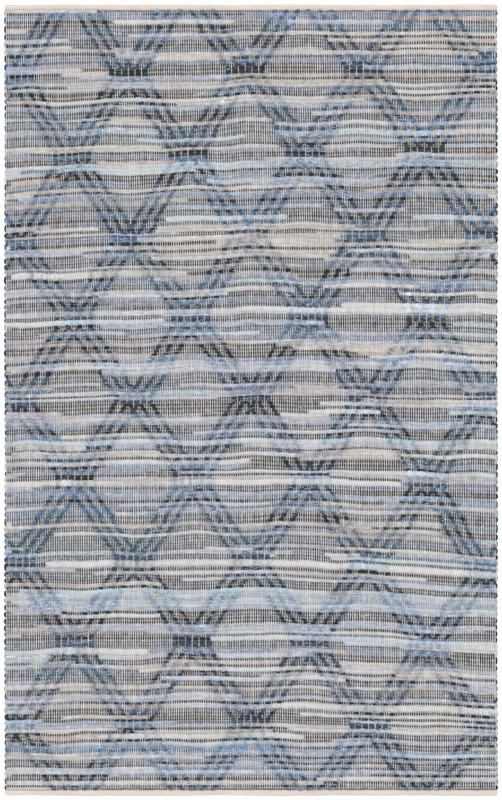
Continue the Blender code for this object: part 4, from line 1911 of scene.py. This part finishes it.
@dataclass
class Heading:
    """A band of cotton folded over one end of the weave and stitched down.

    Attributes:
        name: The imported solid's name.
        side: 1 at the far end, -1 at the near one.
        seed: The seed of what is left to chance.
        stretch: How much wider than its solid the band is at each end.
        past: How much further out than its solid it reaches.
        steps: Steps along it.
        corner_cut: How far its corners are drawn in.
        corner_run: Over what length.
        upper: The height above which it puckers.
        stitch_pitch: From one stitch to the next.
        stitch_length: A stitch's length.
        stitch_reach: Half its width.
        stitch_out: How far out they lie, as a share of the band's reach.
        stitch_stray: How far one strays from there.
        stitch_height: The height of its ends.
        stitch_rise: How much higher its middle lies.
        stitch_round: How rounded it is across.
    """

    name: str
    side: int
    seed: int
    stretch: float = 0.0025
    past: float = 0.0001
    steps: int = 360
    corner_cut: float = 0.0016
    corner_run: float = 0.010
    upper: float = 0.0025
    stitch_pitch: float = 0.0042
    stitch_length: float = 0.0028
    stitch_reach: float = 0.00045
    stitch_out: float = 0.16
    stitch_stray: float = 0.00015
    stitch_height: float = 0.0032
    stitch_rise: float = 0.0005
    stitch_round: float = 0.0003

    FOLD: ClassVar[tuple[FoldPoint, ...]] = (
        FoldPoint(0.00, 0.0004),
        FoldPoint(0.50, 0.0003),
        FoldPoint(0.92, 0.0004),
        FoldPoint(0.99, 0.0012),
        FoldPoint(1.00, 0.0020),
        FoldPoint(0.96, 0.0030),
        FoldPoint(0.86, 0.0036),
        FoldPoint(0.62, 0.0040),
        FoldPoint(0.38, 0.0040),
        FoldPoint(0.23, 0.0037),
        FoldPoint(0.16, 0.0030),
        FoldPoint(0.08, 0.0036),
        FoldPoint(0.00, 0.0038),
    )
    WAVES: ClassVar[tuple[Wave, ...]] = (Wave(0.00045, 0.52), Wave(0.00045, 0.31))
    PUCKER: ClassVar[Sway] = Sway(0.0003, 4)

    def __post_init__(self) -> None:
        """Reads the band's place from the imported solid."""
        low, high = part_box(self.name)
        self.inner = low.y if self.side > 0 else high.y
        self.depth = high.y - low.y + self.past
        self.half = high.x + self.stretch

    def _reach(self, x: np.ndarray) -> np.ndarray:
        """How far the band reaches out: a slight waver, drawn in at its corners."""
        waver = sum(wave.reach * np.sin(2 * math.pi * x / wave.length) for wave in self.WAVES)
        corner = np.clip(1 - (self.half - np.abs(x)) / self.corner_run, 0, 1) ** 2
        return self.depth + waver - self.corner_cut * corner

    def build(self) -> None:
        """Builds the band and its stitches."""
        dice = np.random.default_rng(self.seed)
        x = np.linspace(-self.half, self.half, self.steps + 1)
        out, height = np.array(self.FOLD).T
        pucker = self.PUCKER.over(dice, (len(out), len(x))).T
        points = np.empty((len(x), len(out), 3))
        points[:, :, 0] = x[:, None]
        points[:, :, 1] = self.inner + self.side * out * self._reach(x)[:, None]
        points[:, :, 2] = height + (height > self.upper) * pucker
        along = x + self.half
        steps = np.hypot(np.diff(out) * self.depth, np.diff(height))
        across = np.concatenate([[0], np.cumsum(steps)])
        if self.side > 0:
            points, along = points[::-1], along[::-1]
        band = StripMesh(self.name + "_band")
        colour = np.array(HEADING_COTTON.colour)
        band.strips.append(Strip(points, along, across, colour))
        cloth = put_on_rug(band.build(HEADING_COTTON.material()), "cotton_heading", self.name)
        thread = put_on_rug(self._stitches(dice).build(STITCH_COTTON.material()), "cotton_heading")

    def _stitches(self, dice: np.random.Generator) -> StripMesh:
        """Lays the row of stitches that holds the band down.

        Args:
            dice: The source of chance.

        Returns:
            The stitches.
        """
        mesh = StripMesh(self.name + "_stitches")
        sides, colour = ROUND_SIDES, np.array(STITCH_COTTON.colour)
        lengthwise, risen = np.linspace(-0.5, 0.5, 4), np.array([0, 1, 1, 0])
        for number in range(1, int(2 * self.half / self.stitch_pitch)):
            x = -self.half + number * self.stitch_pitch + lengthwise * self.stitch_length
            out = self.stitch_out * self._reach(x) + dice.normal(0, self.stitch_stray)
            height = self.stitch_height + self.stitch_rise * risen
            points = np.empty((len(x), len(sides), 3))
            points[:, :, 0] = x[:, None]
            points[:, :, 1] = (self.inner + self.side * out)[:, None] + self.stitch_reach * sides
            points[:, :, 2] = height[:, None] + self.stitch_round * (1 - np.abs(sides))
            mesh.strips.append(Strip(points, x, sides, colour))
        return mesh


@dataclass
class LooseThreads:
    """Frayed threads that lie on the rags, and stand out at the selvedges.

    Attributes:
        weft: The rags.
        seed: The seed of what is left to chance.
        steps: Points along a thread.
        on_top: How many lie on the weave.
        long_every: Which of these are long ones that lie anywhere, not short ones on a float.
        at_sides: How many stand out at each selvedge.
        grain_shift: How far each thread's grain is moved along from the last one's.
        pale: The colour that frayed threads fade to, linear.
    """

    weft: Weft
    seed: int = 7
    steps: int = 8
    on_top: int = 2400
    long_every: int = 4
    at_sides: int = 46
    grain_shift: float = 0.05
    pale: Vector3 = as_linear(226, 228, 228)

    SHORT: ClassVar[Span] = (0.006, 0.018)
    LONG: ClassVar[Span] = (0.010, 0.045)
    OUT: ClassVar[Span] = (0.003, 0.009)
    WIDTHS: ClassVar[Span] = (0.0003, 0.0007)
    SIDE_WIDTHS: ClassVar[Span] = (0.0003, 0.0006)
    FADE: ClassVar[Span] = (0.2, 0.95)
    SIDE_FADE: ClassVar[Span] = (0.0, 0.5)
    TAPER: ClassVar[Span] = (0.25, 0.15)  # how blunt its two ends are, as angles
    ROUND: ClassVar[float] = 0.9
    ALONG_STRAY: ClassVar[float] = 0.009
    ROW_STRAY: ClassVar[float] = 0.003
    SIDE_STRAY: ClassVar[float] = 0.004
    CURL: ClassVar[float] = 0.16
    SLANT: ClassVar[float] = 0.22
    ABOVE: ClassVar[float] = 0.0008
    END_SINK: ClassVar[float] = 0.0012
    ROOTED: ClassVar[float] = 0.004

    def __post_init__(self) -> None:
        """Gets the dice and an empty mesh ready."""
        self.dice = np.random.default_rng(self.seed)
        self.mesh = StripMesh("loose_threads", self.weft.layout)

    def _add(self, path: np.ndarray, reach: float, colour: np.ndarray) -> None:
        """Adds a thread.

        Args:
            path: Its middle line.
            reach: Half its width.
            colour: Its colour, linear.
        """
        ahead = np.gradient(path[:, :2], axis=0)
        ahead /= np.linalg.norm(ahead, axis=1)[:, None]
        beside = np.stack([-ahead[:, 1], ahead[:, 0]], -1)
        first, last = self.TAPER
        thin = reach * np.sin(np.linspace(first, math.pi - last, len(path)))
        points = np.repeat(path[:, None], len(ROUND_SIDES), 1)
        points[:, :, :2] += beside[:, None] * (thin[:, None] * ROUND_SIDES)[:, :, None]
        points[:, 1, 2] += self.ROUND * thin
        step = np.linalg.norm(np.diff(path, axis=0), axis=1)
        start = self.grain_shift * len(self.mesh.strips)
        along = start + np.concatenate([[0], np.cumsum(step)])
        self.mesh.strips.append(Strip(points, along, ROUND_SIDES, colour))

    def _faded(self, rag: int, shares: Span) -> np.ndarray:
        """Fades a rag's colour by a chance share between two."""
        own = np.array(self.weft.plan.colours[rag])
        return own + (np.array(self.pale) - own) * self.dice.uniform(*shares)

    def _lay_on_weave(self) -> None:
        """Lays threads on the weave, most of them on floats."""
        dice, weft, layout = self.dice, self.weft, self.weft.layout
        floating = np.argwhere(weft.floated[1:-1, 1:-1] == 1) + 1
        run = np.linspace(-0.5, 0.5, self.steps)
        for number in range(self.on_top):
            row, place = floating[dice.integers(len(floating))]
            length = dice.uniform(*self.SHORT)
            start = weft.x[place] + dice.normal(0, self.ALONG_STRAY)
            if number % self.long_every == 0:
                row, length = dice.integers(1, layout.rows - 1), dice.uniform(*self.LONG)
                start = dice.uniform(-0.98, 0.98) * layout.half_width
            x = start + length * run
            curl = dice.normal(0, self.CURL) * length * np.cos(run * math.pi)
            y = np.interp(x, weft.x, weft.centre[row]) + dice.normal(0, self.ROW_STRAY) + curl
            y += dice.normal(0, self.SLANT) * length * run
            height = np.interp(x, weft.x, weft.top[row]) + self.ABOVE
            height[[0, -1]] -= self.END_SINK
            rag = weft.plan.rag[row, layout.gap_at(start / layout.pitch)]
            colour = self._faded(rag, self.FADE)
            self._add(np.stack([x, y, height], -1), dice.uniform(*self.WIDTHS), colour)

    def _stand_at_selvedges(self) -> None:
        """Lets threads stand out at the selvedges, and sink towards the floor."""
        dice, weft, layout = self.dice, self.weft, self.weft.layout
        run = np.linspace(0, 1, self.steps)
        for side, end in ((-1, 0), (1, -1)):
            for _ in range(self.at_sides):
                row = dice.integers(1, layout.rows - 1)
                out = dice.uniform(*self.OUT)
                x = side * (layout.half_width - self.ROOTED + out * run)
                y = weft.centre[row, end] + dice.normal(0, self.SIDE_STRAY) * run
                height = 0.0035 - 0.0024 * run + 0.0008 * np.sin(run * math.pi)
                colour = self._faded(weft.plan.rag[row, end], self.SIDE_FADE)
                self._add(np.stack([x, y, height], -1), dice.uniform(*self.SIDE_WIDTHS), colour)

    def build(self) -> bpy.types.Object:
        """Builds the threads."""
        self._lay_on_weave()
        self._stand_at_selvedges()
        return put_on_rug(self.mesh.build(ThreadFinish().material()), "rag_weave")


# ---- floor, light and camera


class Lamp(NamedTuple):
    """A far lamp: its power, its tilt from straight above, its turn and its spread in degrees."""

    name: str
    power: float
    tilt: float
    turn: float
    spread: float


@dataclass(frozen=True)
class Studio:
    """A plain pale floor under soft light, and a camera straight above the rug.

    Attributes:
        floor_side: The floor's side.
        floor_colour: Its colour, linear, where it is lightest.
        floor_grain: Its slightly uneven tone.
        picture_height: What the picture's height takes in on the floor.
        lens: The camera's focal length, in millimetres.
        far: How far the camera sees.
        daylight: The light from all around.
        sky: Its colour, linear.
    """

    floor_side: float = 90.0
    floor_colour: Vector3 = (1.0, 1.0, 0.995)
    floor_grain: Grain = Grain((1.5, 1.5, 1.5), 0.3, 0.7)
    picture_height: float = 2.466
    lens: float = 120.0
    far: float = 100.0
    daylight: float = 0.72
    sky: Vector3 = (0.98, 0.99, 1.0)

    LAMPS: ClassVar[tuple[Lamp, ...]] = (
        Lamp("key", power=2.35, tilt=38, turn=215, spread=28),
        Lamp("fill", power=0.705, tilt=42, turn=40, spread=60),
    )

    def build(self) -> None:
        """Sets up the studio."""
        self._lay_floor()
        self._hang_lights()
        self._set_camera()

    def _lay_floor(self) -> None:
        """Lays the floor."""
        half = self.floor_side / 2
        corners = [(-half, -half, 0), (half, -half, 0), (half, half, 0), (-half, half, 0)]
        mesh = bpy.data.meshes.new("floor")
        mesh.from_pydata(corners, [], [(0, 1, 2, 3)])
        floor = bpy.data.objects.new("floor", mesh)
        bpy.context.scene.collection.objects.link(floor)
        graph = Graph("floor_paint")
        place = graph.node("TexCoord").outputs["Object"]
        noise = graph.noise(place, self.floor_grain)
        paint = graph.scaled(self.floor_colour, graph.shade(noise, self.floor_grain, 0.91, 0.93))
        graph.feed(graph.shader.inputs["Base Color"], paint)
        graph.shader.inputs["Roughness"].default_value = 0.9
        graph.shader.inputs["Specular IOR Level"].default_value = 0.1
        mesh.materials.append(graph.material)

    def _hang_lights(self) -> None:
        """Hangs the lights."""
        world = bpy.data.worlds.new("studio")
        world.use_nodes = True
        sky = world.node_tree.nodes["Background"]
        sky.inputs["Color"].default_value = (*self.sky, 1.0)
        sky.inputs["Strength"].default_value = self.daylight
        bpy.context.scene.world = world
        for lamp in self.LAMPS:
            light = bpy.data.lights.new(lamp.name, "SUN")
            light.energy = lamp.power
            light.angle = math.radians(lamp.spread)
            obj = bpy.data.objects.new(lamp.name, light)
            obj.rotation_euler = (math.radians(lamp.tilt), 0, math.radians(lamp.turn))
            bpy.context.scene.collection.objects.link(obj)

    def _set_camera(self) -> None:
        """Sets the camera straight above, as far as its lens needs."""
        lens = bpy.data.cameras.new("camera")
        lens.lens = self.lens
        lens.clip_end = self.far
        camera = bpy.data.objects.new("camera", lens)
        camera.location = (0, 0, self.picture_height * self.lens / lens.sensor_width)
        bpy.context.scene.collection.objects.link(camera)
        bpy.context.scene.camera = camera
        bpy.context.scene.view_settings.view_transform = "Standard"


def main() -> None:
    """Builds the rug's pieces in order, then the studio."""
    logging.basicConfig(level=logging.INFO, format="%(message)s")
    low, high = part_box("rag_field")
    layout = Layout(half_width=high.x, weave_end=high.y)
    plan = RagPlan(layout)
    weft = Weft(layout, plan)
    rags = weft.build()
    lines = Warp(weft).build()
    threads = LooseThreads(weft).build()
    back = Back(weft).build()
    Heading("heading_far", side=1, seed=3).build()
    Heading("heading_near", side=-1, seed=4).build()
    Studio().build()


if __name__ == "__main__":
    main()
